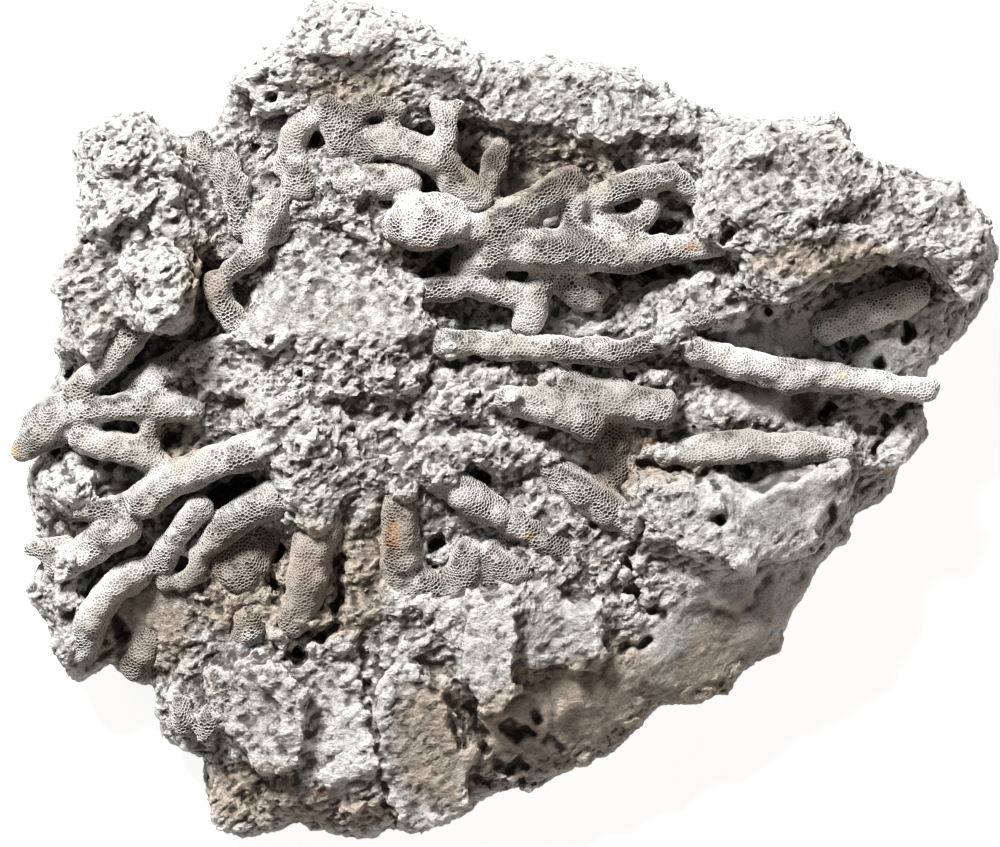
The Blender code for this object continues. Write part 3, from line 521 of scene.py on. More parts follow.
def lay_crust(name, corners, trees, chance, base=None, thickness=5):
    """A crust with a ragged rim that follows the ground inside its outline, or rises from a level base."""
    def top(x, y, lift):
        return lift + (ground(trees, x, y) if base is None else base)

    rim = []
    for (x, y, lift), (next_x, next_y, next_lift) in zip(corners, corners[1:] + corners[:1]):
        steps = max(2, round(math.hypot(next_x - x, next_y - y) / RIM_STEP))
        for step in range(steps):
            share = step / steps
            wander = chance.normal(0, RIM_WANDER, 2)
            rim.append((x + (next_x - x) * share + wander[0], y + (next_y - y) * share + wander[1],
                        lift + (next_lift - lift) * share + chance.normal(0, RIM_SCATTER)))
    middle = np.mean(rim, axis=0)
    points, faces, count = [], [], len(rim)
    for scale in CRUST_RINGS:
        for corner in rim:
            x, y, lift = middle + (np.array(corner) - middle) * scale
            points.append((x, y, top(x, y, lift - RIM_DROP if scale == 1 else lift)))
    points.append((middle[0], middle[1], top(*middle)))
    points += [(x, y, z - thickness) for x, y, z in points[:count]]
    innermost = len(CRUST_RINGS) - 1
    peak = len(CRUST_RINGS) * count
    for corner in range(count):
        following = (corner + 1) % count
        for ring in range(innermost):
            faces.append((ring * count + corner, (ring + 1) * count + corner, (ring + 1) * count + following,
                          ring * count + following))
        faces.append((innermost * count + corner, peak, innermost * count + following))
        faces.append((peak + 1 + following, peak + 1 + corner, corner, following))
    faces.append(tuple(range(peak + 1, peak + 1 + count)))
    return new_piece(name, np.array(points) * MM, faces)


# Crumbs of stone, from grit to pebbles, stick to the crumbling faces. These faces, like all the zones that
# follow, are ovals (x, y, x radius, y radius) in millimetres, some with a turn in degrees.
CRUMBLING = [(-75, 41.5, 12, 20), (-30, 37.5, 16, 14), (-18, 7.5, 20, 8), (-38, -6.5, 8, 12),
             (-24, -12.5, 8, 8), (0, -1.5, 12, 7), (42, 29.5, 10, 8), (-85, -10.5, 8, 8),
             (-86, -32.5, 8, 6), (-48, -58.5, 10, 12), (10, 9.5, 24, 5), (-54, -34.5, 8, 8),
             (20, -32.5, 12, 5), (-8, -32.5, 10, 6), (30, 23.5, 14, 5, 20), (-56, 31.5, 8, 12),
             (40, 13.5, 12, 5)]


CRUMB_KINDS = 6
CRUMB_RAGGEDNESS = 0.45 * MM
CRUMBS_ON_FACE = 1400
CHIPS_ON_RIM = 520


def make_crumb(seed):
    """One angular crumb, a millimetre in radius."""
    bpy.ops.object.select_all(action="DESELECT")
    bpy.ops.mesh.primitive_ico_sphere_add(subdivisions=1, radius=MM)
    crumb = bpy.context.object
    bpy.ops.object.mode_set(mode="EDIT")
    bpy.ops.transform.vertex_random(offset=CRUMB_RAGGEDNESS, uniform=0.4, normal=0, seed=seed)
    bpy.ops.object.mode_set(mode="OBJECT")
    return crumb


OVERSHOOT = 1.15


def rays_on_zones(ovals, count, chance):
    """Lines of fall on to zones of the face, and a little past their edges."""
    sizes = np.array([oval[2] * oval[3] for oval in ovals], dtype=float)
    for _ in range(count):
        x, y, width, height = ovals[chance.choice(len(ovals), p=sizes / sizes.sum())][:4]
        reach, angle = math.sqrt(chance.random()) * OVERSHOOT, chance.random() * 2 * math.pi
        aim_x, aim_y = x + reach * width * math.cos(angle), y + reach * height * math.sin(angle)
        yield Vector((aim_x, aim_y, OVERHEAD)), DOWN


RIM_BOTTOM, RIM_HEIGHT = 5, 32
AIM_LENGTH, AIM_WIDTH = 30, 25
ROUND_LENGTH, ROUND_WIDTH = 150, 130
SLOPE_RISE = 10


def rays_on_rim(count, chance):
    """Lines that slope in to the block from an oval all round it; lengths in mm."""
    for _ in range(count):
        angle, height = chance.random() * 2 * math.pi, RIM_BOTTOM + RIM_HEIGHT * chance.random()
        aim = Vector((chance.normal(0, AIM_LENGTH), chance.normal(0, AIM_WIDTH), height))
        start = Vector((ROUND_LENGTH * math.cos(angle), ROUND_WIDTH * math.sin(angle), height + SLOPE_RISE))
        yield start, (aim - start).normalized()


BARE_FOOT = 4 * MM
SLIMMEST, SPREAD = 0.6, 0.7


def scatter(name, tree, crumbs, rays, smallest, largest, chance, sink=0.3):
    """Copies of crumbs, each where a line first meets the skin; sizes in mm."""
    shapes = [(vertex_places(crumb), [tuple(face.vertices) for face in crumb.data.polygons])
              for crumb in crumbs]
    parts, faces, first = [], [], 0
    for start, heading in rays:
        hit, normal, _, _ = tree.ray_cast(start * MM, heading)
        if hit is None or hit.z < BARE_FOOT:
            continue
        size = smallest + (largest - smallest) * chance.random() ** 3
        points, polygons = shapes[chance.integers(len(shapes))]
        turning = np.linalg.qr(chance.normal(size=(3, 3)))[0]
        turning *= np.sign(np.linalg.det(turning))
        stretch = np.diag(SLIMMEST + SPREAD * chance.random(3))
        parts.append(points @ (stretch @ turning) * size + np.array(hit - normal * size * MM * sink))
        faces.extend([tuple(first + corner for corner in face) for face in polygons])
        first += len(points)
    return new_piece(name, np.vstack(parts), faces)


# Joints and crevices, as routes (x, y) with half their width and their depth, and holes that wormed or
# weathered into the stone (x, y, radius, depth); all in millimetres.
CREVICES = [
    ([(29, -9), (36, -10), (42, -12)], 1.6, 4),
    ([(1, -61.5), (3.5, -63), (5, -62)], 1.5, 4),
    ([(-1, -69), (2, -70.5), (4, -69)], 1.4, 3),
    ([(6.5, -58.5), (8, -61)], 0.9, 3),
    ([(9, -64), (12, -66)], 0.8, 2),
    ([(-5, -72), (0, -74), (6, -72.5)], 1.2, 3),
    ([(-47, -25), (-46.5, -30), (-44.5, -35)], 1.4, 5),
    ([(-43.5, -41), (-38, -43.5), (-34, -42)], 1.6, 6),
    ([(-34, -25), (-32.5, -31), (-33, -38)], 1.3, 5),
    ([(28.5, -20), (26.5, -24), (25, -29), (26, -34), (29, -38), (32.5, -39)], 0.9, 3),
    ([(30.5, -44), (24.5, -46)], 0.8, 2),
    ([(-28, -44), (-27.5, -56), (-25, -64), (-23.5, -76), (-21.5, -83)], 0.6, 2.5),
    ([(-17, -48), (-12.5, -54)], 0.7, 1.5),
    ([(83.5, 3), (78.5, 1), (76.5, -3), (74.5, -7)], 1, 3),
    ([(66.5, -18), (62.5, -27)], 1, 3),
    ([(-84, 47), (-84.5, 41)], 1, 2.5),
    ([(-10.5, -56), (-8, -65)], 1.2, 3),
    ([(-6.5, -57), (-3, -66)], 1.2, 3),
    ([(-91.5, -4), (-86.5, -12)], 1.2, 3),
    ([(-81.5, -36), (-75.5, -44)], 1.3, 3),
    ([(-83, 35.5), (-75.5, 38.5), (-70.5, 39.5)], 1, 2),
]
HOLES = [
    (-51.5, 36, 1.6, 4), (-45.5, 64, 1.2, 3), (-49.5, 54.5, 1.2, 3), (-38, 57.5, 1.6, 4), (-38, 55, 1.2, 4),
    (-15.5, 57.5, 1.4, 4), (-46, 15.5, 1.4, 3), (0.5, 27, 1.8, 4), (4, 26.5, 1.4, 4), (24.5, 43, 1.4, 4),
    (30.5, 38, 1.2, 3), (23.5, 29, 2.8, 5), (29.5, 29.5, 2.8, 5), (35.5, 30.5, 2.4, 5), (45, 37, 2, 4),
    (61.5, 38.5, 1.2, 2.5), (25.5, 8.5, 1.8, 4), (-5, -11.5, 3.2, 6), (-13, -25, 2, 5), (-14, -29, 1.6, 4),
    (-2.5, -31.5, 1.6, 4), (-2, -24, 1.4, 3), (-81.5, -2, 1.8, 5), (-77.5, -2.5, 1.8, 5),
    (-65.5, -3.5, 2.4, 4),
    (-84.5, -20.5, 1.8, 4), (-78.5, -20.5, 2, 4), (-90.5, -27, 1.6, 4), (-41.5, -46.5, 2.4, 5),
    (-31.5, -27.5, 1.6, 4),
    (81.5, 17.5, 2, 8), (68.5, 15, 2.2, 6), (71.5, 15, 1.6, 5), (76, 11, 1.6, 4), (65.5, 1.5, 2, 5),
    (35, -10, 1.8, 4), (48.5, -9.5, 2, 4), (43, -19.5, 1.4, 6), (18.5, -20.5, 1.2, 3),
    (-86.5, 9.5, 1.6, 4), (61, -3.5, 1, 3), (64.5, -4.5, 1, 3),
    (-52.5, 26, 1.6, 4), (-17.5, 34, 2, 5), (-11.5, 31, 2.4, 5), (-14.5, 29, 2, 5), (53.5, 22.5, 1.8, 4),
    (-40.5, 9.5, 1, 2), (-30, -2, 1, 2), (-18.5, 0, 1, 2.5), (-6.5, 3, 1, 2), (11.5, -28, 1.4, 3),
    (17.5, 3, 1.4, 3), (-34.5, 38, 1, 2), (-40.5, 34, 1, 2),
]


CREVICE_EDGE = 1.3
HOLE_EDGE, HOLE_STEEPNESS = 1.1, 1.5
CARVED_ABOVE = 7 * MM
CARVED_DOWN_TO = 5 * MM


def carve(piece, crevices, holes):
    """Sink crevices and holes into the face of a piece, with wandering edges."""
    places, normals = vertex_places(piece), vertex_normals(piece)
    x, y = places[:, 0] / MM, places[:, 1] / MM
    x, y = (x + 0.5 * np.sin(1.1 * y + 1.7 * np.sin(0.6 * x)) + 0.25 * np.sin(2.9 * x + 2 * y),
            y + 0.5 * np.sin(1.2 * x + 1.5 * np.sin(0.7 * y)) + 0.25 * np.sin(2.6 * y - 2.2 * x))
    sink = np.zeros(len(places))
    for route, half_width, depth in crevices:
        nearest = np.full(len(places), 1e9)
        for start, end in zip(route, route[1:]):
            along = np.subtract(end, start)
            share = np.clip(((x - start[0]) * along[0] + (y - start[1]) * along[1]) / (along @ along), 0, 1)
            off_x, off_y = x - start[0] - share * along[0], y - start[1] - share * along[1]
            nearest = np.minimum(nearest, np.hypot(off_x, off_y))
        sink = np.maximum(sink, depth * np.clip(CREVICE_EDGE - nearest / half_width, 0, 1))
    for hole_x, hole_y, radius, depth in holes:
        nearest = np.hypot(x - hole_x, y - hole_y)
        sink = np.maximum(sink, depth * np.clip(HOLE_STEEPNESS * (HOLE_EDGE - nearest / radius), 0, 1))
    upper = (places[:, 2] > CARVED_ABOVE) & (normals[:, 2] > 0.05)
    places[:, 2] -= np.where(upper, sink, 0) * MM
    places[:, 2] = np.where(upper, np.maximum(places[:, 2], CARVED_DOWN_TO), places[:, 2])
    place_vertices(piece, places)


# Faces of close, even marl that the weather has left smooth.
SMOOTH = [(56, -16.5, 14, 7), (44, -40.5, 24, 10, 35), (12, -58.5, 18, 8, 20), (52, 17.5, 9, 5),
          (-72, -38.5, 8, 6), (55, 4, 10, 4)]
# Plates that split off flat along the bedding.
PLATES = [(-15, -66, 9, 15), (-2, -46, 7, 10), (12, -43, 9, 7), (-33, -62, 6, 13), (-47, -60, 8, 10),
          (50, -18, 16, 9), (-34, 22, 17, 6), (77, 11, 7, 7)]
# Faces stained warm by iron, and shaded places painted browner and darker as painted shade.
WARM_STAINS_AND_SHADE = [(12, -58.5, 24, 12, 20), (-50, -75.5, 10, 7), (-30, 67.5, 12, 5), (-65, -3.5, 6, 4),
        (-72, -42.5, 10, 10), (50, -44.5, 22, 9, 38), (6, 50, 18, 6), (-12, -64.5, 10, 14),
        (-50, -32.5, 12, 12), (-30, -30.5, 8, 10), (-59, 27, 4, 10), (64, 31.5, 14, 4),
        (-22, -23.5, 5, 8), (-38, -31, 7, 12), (-36, -37, 12, 6), (22, -7, 6, 9, 20), (35, -11, 8, 3),
        (-16, 33, 7, 3), (-33, -79, 12, 3.5)]
# Fresh blue-grey breaks.
COOL = [(12, -41.5, 9, 6), (-33, -64.5, 6, 12), (52, 17.5, 10, 5), (46, -18.5, 18, 9),
        (-74, 47.5, 9, 12), (-40, 35.5, 12, 14), (24, 63.5, 20, 6), (-88, -32.5, 6, 6), (-92, 3.5, 6, 8)]
# Faces that are bleached or chalky, and faces lightened with painted light where they lie in shadow.
PALE_AND_PAINTED_LIGHT = [(75, 22, 11, 5), (-50.3, -44, 2.5, 2.5), (-23, -8.5, 4.5, 3.5), (-45.5, 67, 8, 6),
        (-12, 70, 11, 7), (53, 17, 10, 5), (80, 14, 12, 12), (-33, -63, 7, 12), (60, -36, 14, 7, 40),
        (-46, 11, 14, 6), (-48, 78, 8, 4), (-23, -7, 4, 3), (-22, 0, 2, 3), (-55.3, 19, 5, 4),
        (-35.3, -71, 5, 4), (15, 29, 6, 4), (15, 19, 10, 4), (66, 19, 16, 5), (74.7, -1, 5, 6),
        (42, -31, 12, 5), (-14.5, 40, 9, 6), (-76, 46, 9, 13), (-70, 26, 7, 8), (-28, 76, 14, 7),
        (88, 34, 8, 6), (-84, -32, 7, 6), (-3, -46, 6, 9), (-85, -12, 6, 6)]
# Patches darkened brownish with painted shade, in hollows and shaded places.
PAINTED_SHADE_ZONES = [(52, 26, 5, 3), (45, -1, 5, 4), (-18, -10.5, 10, 5), (-33, -38, 9, 6), (-53, -51, 8, 4),
         (-16, -20, 6, 6), (-28, -31, 3, 9), (-62, -34, 5, 5), (-12.5, 31.5, 6, 2.5), (6, 50, 16, 4),
         (14, -24, 9, 5, -30), (18, 6, 14, 4)]
# Specks of rust and of ochre.
RUSTY = [(29, -4, 2.3, 1.6), (-21.6, -23, 1.5, 3), (38, 34.4, 1.8, 0.8), (-36.5, -75, 3, 1)]
OCHRE = [(-98, -6.5, 1.4, 1.8), (77.7, -10.4, 1.2, 0.9, 40), (67.7, 9, 0.8, 0.8), (62.7, -1.6, 0.8, 0.8),
         (5.7, -23, 1.2, 1), (3.9, -50, 1, 0.8)]
# Rock that is itself a mass of fine coral, full of tubes.
COMBED = [(-51, 42, 11, 16), (-38, 46, 9, 9), (-26, 59, 8, 5), (-71, 8, 6, 4), (-91, -2.5, 5, 6),
          (-51, -27, 10, 9), (24, -3, 5, 10, 20), (41, 20, 4, 3), (-22, 45, 10, 5), (-52, 24, 4, 5),
          (-42, 8, 7, 4), (2, -24, 8, 6, -30), (-8, 19, 8, 3), (-60, -58, 6, 8)]

# The splinters of the broken face are drawn out one way.
STREAK_TURN = math.radians(35)
STREAK_STRETCH = (2.2, 0.9, 1)

GROWTH = 0.9 * MM
STONE_GRAIN = 0.58 * MM
CHIPPED_FACES = 11000
STONE_TRIANGLES = 338000


def thin_out(piece, triangles):
    """Leave about this many triangles of a piece of four-sided faces."""
    modify(piece, "DECIMATE", ratio=triangles / (2 * len(piece.data.polygons)), use_collapse_triangulate=True)


def weigh_face(piece):
    """Where the weather has worked on the stone: not on its flat back, and little on its smooth faces."""
    piece.vertex_groups.clear()
    places = vertex_places(piece)
    face = np.clip(places[:, 2] / (2 * MM) - 0.5, 0, 1)
    even = np.maximum(zone(places, SMOOTH), 0.6 * zone(places, PLATES))
    weigh(piece, "face", (1 - 0.8 * even) * face)
    weigh(piece, "crumbling", np.maximum(zone(places, CRUMBLING), 0.5) * (1 - even)
          * (1 - 0.7 * zone(places, COMBED)) * face)


# The block fills its outline to the crests of its relief.
stone = copy_nodes("stone", ["stone_matrix"])
fuse(stone, 1.1 * MM)
modify(stone, "SMOOTH", factor=0.5, iterations=6)
places = vertex_places(stone)
places[:, :2] += vertex_normals(stone)[:, :2] * GROWTH
place_vertices(stone, places)

chance = np.random.default_rng(5)
branches = copy_nodes("banks", [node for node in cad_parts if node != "stone_matrix"])
bare_ground, coral_ground = skin_tree(stone), skin_tree(branches)
crusts = [lay_crust(name, corners, [bare_ground], chance) for name, corners in CRUSTS.items()]
crusts += [lay_crust(name, corners, [bare_ground, coral_ground], chance)
           for name, corners in CLINGING.items()]
crusts += [lay_crust(name, corners, [], chance, 0, FILLING_DEPTH) for name, corners in FILLINGS.items()]
only(stone, *crusts)
bpy.ops.object.join()
stone = bpy.context.object

# It broke in chips: flat facets with sharp edges between them.
fuse(stone, 0.8 * MM)
weigh_face(stone)
roughen(stone, texture("CLOUDS", 9 * MM, noise_depth=3), 3.6 * MM, group="face")
roughen(stone, texture("CLOUDS", 4.5 * MM, noise_type="HARD_NOISE", noise_depth=4), 2.6 * MM, 0.35, "face")
thin_out(stone, CHIPPED_FACES)

crumb_kinds = [make_crumb(seed) for seed in range(CRUMB_KINDS)]
face_tree = skin_tree(stone)
rubble = scatter("rubble", face_tree, crumb_kinds, rays_on_zones(CRUMBLING, CRUMBS_ON_FACE, chance),
                 0.5, 2.2, chance)
rim_chips = scatter("rim_chips", face_tree, crumb_kinds, rays_on_rim(CHIPS_ON_RIM, chance),
                    1.2, 4.2, chance, sink=0.6)
for crumb in crumb_kinds:
    bpy.data.objects.remove(crumb)

# The marl also fills the space under the coral, and cakes the flanks of each branch in patches.
fuse(branches, 0.8 * MM)
roughen(branches, texture("CLOUDS", 6 * MM, noise_depth=2), 3.4 * MM, 0.65)
only(branches)
bpy.ops.object.mode_set(mode="EDIT")
bpy.ops.mesh.select_all(action="SELECT")
bpy.ops.transform.translate(value=(0, 0, -0.7 * MM))
bpy.ops.mesh.duplicate()
bpy.ops.transform.translate(value=(0, -0.4 * MM, -2.2 * MM))
bpy.ops.object.mode_set(mode="OBJECT")
only(stone, rubble, rim_chips, branches)
bpy.ops.object.join()
stone = bpy.context.object

# Last come the crevices, then blocks, splinters and grains, each finer than the one before.
fuse(stone, STONE_GRAIN)
carve(stone, CREVICES, HOLES)
fuse(stone, STONE_GRAIN)
weigh_face(stone)
blocks = texture("VORONOI", 3.2 * MM, color_mode="POSITION", distance_metric="MANHATTAN")
roughen(stone, blocks, 1.3 * MM, group="crumbling")
bpy.ops.object.select_all(action="DESELECT")
bpy.ops.object.empty_add(rotation=(0, 0, STREAK_TURN))
streaks = bpy.context.object
streaks.scale = STREAK_STRETCH
bpy.context.view_layer.update()
splinters = texture("CLOUDS", 2.4 * MM, noise_type="HARD_NOISE", noise_depth=4)
roughen(stone, splinters, 1.35 * MM, 0.3, "face", streaks)
bpy.data.objects.remove(streaks)
grains = texture("VORONOI", 1.5 * MM, color_mode="POSITION")
roughen(stone, grains, 0.7 * MM, group="face")
stone.vertex_groups.clear()
thin_out(stone, STONE_TRIANGLES)

places, normals = vertex_places(stone), vertex_normals(stone)
near = smoothed(stone, places, 5)
far = smoothed(stone, near, 50)
# How far each point sinks in or stands out, which the material turns into painted shade in hollows and a
# painted highlight on crests.
store(stone, "fine_relief", np.einsum("ij,ij->i", places - near, normals) / MM)
store(stone, "broad_relief", np.einsum("ij,ij->i", near - far, normals) / MM)
store(stone, "warmth", zone(places, WARM_STAINS_AND_SHADE) - 0.8 * zone(places, COOL))
store(stone, "combed", zone(places, COMBED))
# Stains, and zones of painted shade and painted light, for the material to read.
STAINS_AND_PAINTED_LIGHT = {"paleness_and_painted_light": PALE_AND_PAINTED_LIGHT, "painted_shade": PAINTED_SHADE_ZONES, "rusty": RUSTY, "ochre": OCHRE}
for name, ovals in STAINS_AND_PAINTED_LIGHT.items():
    store(stone, name, zone(places, ovals))
stone_skin = skin_tree(stone)

# Greys of the stone: painted shade in its hollows, its own even grey, and a painted highlight on its crests.
HOLLOW_SHADE_GREY = (0.24, 0.205, 0.17)
EVEN_GREY = (0.53, 0.515, 0.49)
CREST_HIGHLIGHT_GREY = (0.76, 0.75, 0.725)
BROWN_MARL_AND_SHADE = (0.45, 0.375, 0.30)
BLUE_GREY = (0.54, 0.56, 0.59)
CHALK_AND_PAINTED_LIGHT = (0.88, 0.88, 0.87)
PAINTED_SHADE_BROWN = (0.17, 0.142, 0.118)
# Flecks and dark specks of grain and grit: partly the stone's own grain, partly painted highlight where the
# bump rises and painted shade where it dips.
PALE_FLECK_AND_HIGHLIGHT = (0.88, 0.875, 0.86)
BROWN_FLECK_AND_HIGHLIGHT = (0.68, 0.575, 0.475)
DARK_GRIT_AND_SHADE = (0.13, 0.112, 0.095)
DARK_GRAIN_AND_SHADE = (0.12, 0.105, 0.09)
# Painted highlights for the finest crests, and painted shade for the finest hollows.
PALE_CREST_HIGHLIGHT = (0.93, 0.925, 0.905)
BROWN_CREST_HIGHLIGHT = (0.76, 0.65, 0.545)
HOLLOW_SHADE_DARK = (0.06, 0.05, 0.04)
DARK_CRACK = (0.10, 0.085, 0.07)
TUBE_SHADE = (0.05, 0.042, 0.035)
RUST = (0.28, 0.12, 0.035)
YELLOW_CLAY = (0.50, 0.38, 0.16)
WAVINESS = 2 * MM
CHIP_SIZE = 1.1 * MM
TUBE_PITCH = 0.85 * MM
RIDGE_SIZE = 1.9 * MM

# The marl is a mass of angular chips with cracks between them, ridges that are drawn out one way, grains and
# finer grit, and in places the tubes of old coral.
limestone = Finish("grey_limestone")
wander = limestone.node("ShaderNodeTexNoise", {},
                        {"Vector": limestone.place, "Scale": 1 / WAVINESS, "Detail": 3}, "Color")
wandering = limestone.node("ShaderNodeVectorMath", {"operation": "MULTIPLY_ADD"},
                           {0: wander, 1: (WAVINESS,) * 3, 2: limestone.place})
chip = limestone.node("ShaderNodeTexVoronoi", {}, {"Vector": wandering, "Scale": 1 / CHIP_SIZE}, "Color")
crack = limestone.node("ShaderNodeTexVoronoi", {"feature": "DISTANCE_TO_EDGE"},
                       {"Vector": wandering, "Scale": 1 / CHIP_SIZE})
tube = limestone.node("ShaderNodeTexVoronoi", {},
                      {"Vector": wandering, "Scale": 1 / TUBE_PITCH, "Randomness": 0.7})
streaked = limestone.node("ShaderNodeMapping", {"vector_type": "TEXTURE"},
                          {"Vector": limestone.place, "Rotation": (0, 0, STREAK_TURN),
                           "Scale": STREAK_STRETCH})
ridge = limestone.node("ShaderNodeTexNoise", {"noise_type": "RIDGED_MULTIFRACTAL"},
                       {"Vector": streaked, "Scale": 1 / RIDGE_SIZE, "Detail": 6, "Roughness": 0.65})
grain = limestone.mottle(1.0 * MM, 5, 0.75)
grit = limestone.mottle(0.4 * MM, 4, 0.7)
old_coral = (limestone.attribute("combed") + limestone.mottle(4 * MM, 2) - 0.5).between(0.35, 0.65)
# Each tube end gets painted shade in the colour, as well as a dip in the bump.
tube_end = (1 - tube.between(0.24, 0.42)) * old_coral

# Painted shade darkens its hollows and a painted highlight lightens its crests. Stains, painted shade and
# painted light lie over that, then grit and grains, and the finest relief is the sharpest.
fine = limestone.attribute("fine_relief")
broad = limestone.attribute("broad_relief")
warmth = limestone.attribute("warmth")
patches = limestone.mottle(13 * MM, 5, 0.62, 0.4)
browner = (warmth + patches.between(0.45, 0.7) * 0.5).between(0.1, 1.1)
fleck_and_highlight = limestone.mix(PALE_FLECK_AND_HIGHLIGHT, BROWN_FLECK_AND_HIGHLIGHT, browner)
crest_highlight = limestone.mix(PALE_CREST_HIGHLIGHT, BROWN_CREST_HIGHLIGHT, browner)
colour = limestone.paint(HOLLOW_SHADE_GREY, [
    (EVEN_GREY, broad.between(-0.9, 0.2)),
    (CREST_HIGHLIGHT_GREY, broad.between(0.0, 1.2)),
    (BROWN_MARL_AND_SHADE, browner * 0.8),
    (BLUE_GREY, (0 - warmth).between(0.1, 0.8) * 0.5),
    (CHALK_AND_PAINTED_LIGHT, limestone.attribute("paleness_and_painted_light") * 0.85),
    (PAINTED_SHADE_BROWN, limestone.attribute("painted_shade") * patches.between(0.2, 0.6) * 0.82),
    (fleck_and_highlight, grit.between(0.53, 0.66) * 0.5),
    (DARK_GRIT_AND_SHADE, (1 - grit.between(0.32, 0.46)) * 0.45),
    (DARK_GRAIN_AND_SHADE, (1 - grain.between(0.34, 0.49)) * 0.6),
    (fleck_and_highlight, (grain + (chip - 0.5) * 0.25).between(0.53, 0.68) * 0.6),
    (crest_highlight, fine.between(0.02, 0.16) * 0.75),
    (HOLLOW_SHADE_DARK, (1 - fine.between(-0.2, -0.01)) * 0.85),
    (DARK_CRACK, (1 - crack.between(0.0, 0.12)) * (1 - grit.between(0.4, 0.6)) * 0.4),
    (TUBE_SHADE, tube_end * 0.85),
    (RUST, limestone.attribute("rusty") * grain.between(0.35, 0.6) * 0.9),
    (YELLOW_CLAY, limestone.attribute("ochre") * grain.between(0.3, 0.55) * 0.55),
])
height = grain + grit * 0.45 + chip * 0.08 + ridge * 0.25 - tube_end * 0.3
bump = limestone.node("ShaderNodeBump", {}, {"Strength": 1.0, "Distance": 2.0 * MM, "Height": height},
                      "Normal")
limestone.set(Base_Color=colour, Roughness=0.92, Normal=bump)
stone.data.materials.clear()
stone.data.materials.append(limestone.material)

# The block is kept as a left and a right half, whose cut faces meet.
PARTING = -8 * MM
KEEPER_SIZE = 0.3
right_half = stone.copy()
right_half.data = stone.data.copy()
bpy.context.scene.collection.objects.link(right_half)
for half, name, side in ((stone, "stone_left", -1), (right_half, "stone_right", 1)):
    bpy.ops.object.select_all(action="DESELECT")
    bpy.ops.mesh.primitive_cube_add(size=KEEPER_SIZE, location=(PARTING + side * KEEPER_SIZE / 2, 0, 0))
    keeper = bpy.context.object
    half.name = name
    modify(half, "BOOLEAN", operation="INTERSECT", object=keeper, solver="MANIFOLD")
    bpy.data.objects.remove(keeper)
    half.data.shade_flat()
    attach(half, "root")
    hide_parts("stone_matrix")


# ---------------------------------------------------------------- the coral
# Round branches of calcite, grown in one piece with each other. Each is a bundle of thin tubes, whose open
# ends cover it with a honeycomb of pits; only where it is worn or caked with marl is it smooth.

# Where the branches are worn smooth.
WORN = [(62, 12, 28, 6, -8), (50, -3.5, 20, 5), (-37, -29, 6, 13), (-72, -8, 26, 18), (-76, -30, 14, 16),
        (10, 5, 11, 7), (-20, 46, 12, 6), (-14, 41, 9, 5), (40, 36, 8, 3), (7, 25, 5, 8),
        (-20, -18, 5, 8), (-41, 56, 4, 6), (-9, -14, 6, 5), (75, 22.5, 12, 5)]

PIT_PITCH = 0.8 * MM
BRANCH_SWELLING = 0.32 * MM

dual_cells = bpy.data.node_groups.new("dual_cells", "GeometryNodeTree")
dual_cells.interface.new_socket("Skin", in_out="INPUT", socket_type="NodeSocketGeometry")
dual_cells.interface.new_socket("Cells", in_out="OUTPUT", socket_type="NodeSocketGeometry")
skin_in = dual_cells.nodes.new("NodeGroupInput")
cells_out = dual_cells.nodes.new("NodeGroupOutput")
dual = dual_cells.nodes.new("GeometryNodeDualMesh")
dual_cells.links.new(skin_in.outputs[0], dual.inputs[0])
dual_cells.links.new(dual.outputs[0], cells_out.inputs[0])


def grow_patch(x, y, width, height, turn, rise=-0.9, thickness=2.4):
    """A low pad of coral on the stone; its place and size in mm."""
    bpy.ops.object.select_all(action="DESELECT")
    middle = Vector((x, y, ground([stone_skin], x, y) + rise)) * MM
    bpy.ops.mesh.primitive_uv_sphere_add(segments=24, ring_count=12, radius=MM, location=middle)
    bpy.ops.transform.resize(value=(width, height, thickness))
    bpy.ops.transform.rotate(value=-math.radians(turn), orient_axis="Z", center_override=middle)
    bpy.ops.object.transform_apply()
    return bpy.context.object


def grow_branches(name, nodes, patches):
    """Round, knobbly branches, grown together where they fork, and pads beside them."""
    coral = copy_nodes(name, nodes)
    modify(coral, "DISPLACE", strength=BRANCH_SWELLING, mid_level=0)
    if patches:
        pads = [grow_patch(*patch) for patch in patches]
        only(coral, *pads)
        bpy.ops.object.join()
        coral = bpy.context.object
    fuse(coral, 0.6 * MM)
    modify(coral, "SMOOTH", factor=0.5, iterations=14)
    roughen(coral, texture("CLOUDS", 7 * MM, noise_depth=1), 2.2 * MM, 0.42)
    roughen(coral, texture("CLOUDS", 2.6 * MM, noise_depth=1), 1.2 * MM, 0.5)
    return coral


CELL_JITTER = 0.3 * MM
EVENING_ROUNDS = 7
SLIVER = 0.13 * MM


def lay_honeycomb_grid(coral):
    """Even out the skin into cells of one pitch, mostly six-sided."""
    smooth_form = coral.copy()
    smooth_form.data = coral.data.copy()
    bpy.context.scene.collection.objects.link(smooth_form)
    fuse(coral, PIT_PITCH * 0.94)
    bpy.ops.object.mode_set(mode="EDIT")
    bpy.ops.mesh.select_all(action="SELECT")
    bpy.ops.mesh.quads_convert_to_tris()
    bpy.ops.transform.vertex_random(offset=CELL_JITTER, uniform=1, normal=0, seed=7)
    for _ in range(EVENING_ROUNDS):
        bpy.ops.mesh.beautify_fill()
        bpy.ops.mesh.vertices_smooth(factor=0.6)
    bpy.ops.object.mode_set(mode="OBJECT")
    modify(coral, "SHRINKWRAP", target=smooth_form, wrap_method="NEAREST_SURFACEPOINT")
    bpy.data.objects.remove(smooth_form)
    modify(coral, "NODES", node_group=dual_cells)
    bpy.ops.object.mode_set(mode="EDIT")
    bpy.ops.mesh.select_all(action="SELECT")
    bpy.ops.mesh.remove_doubles(threshold=SLIVER)
    bpy.ops.object.mode_set(mode="OBJECT")


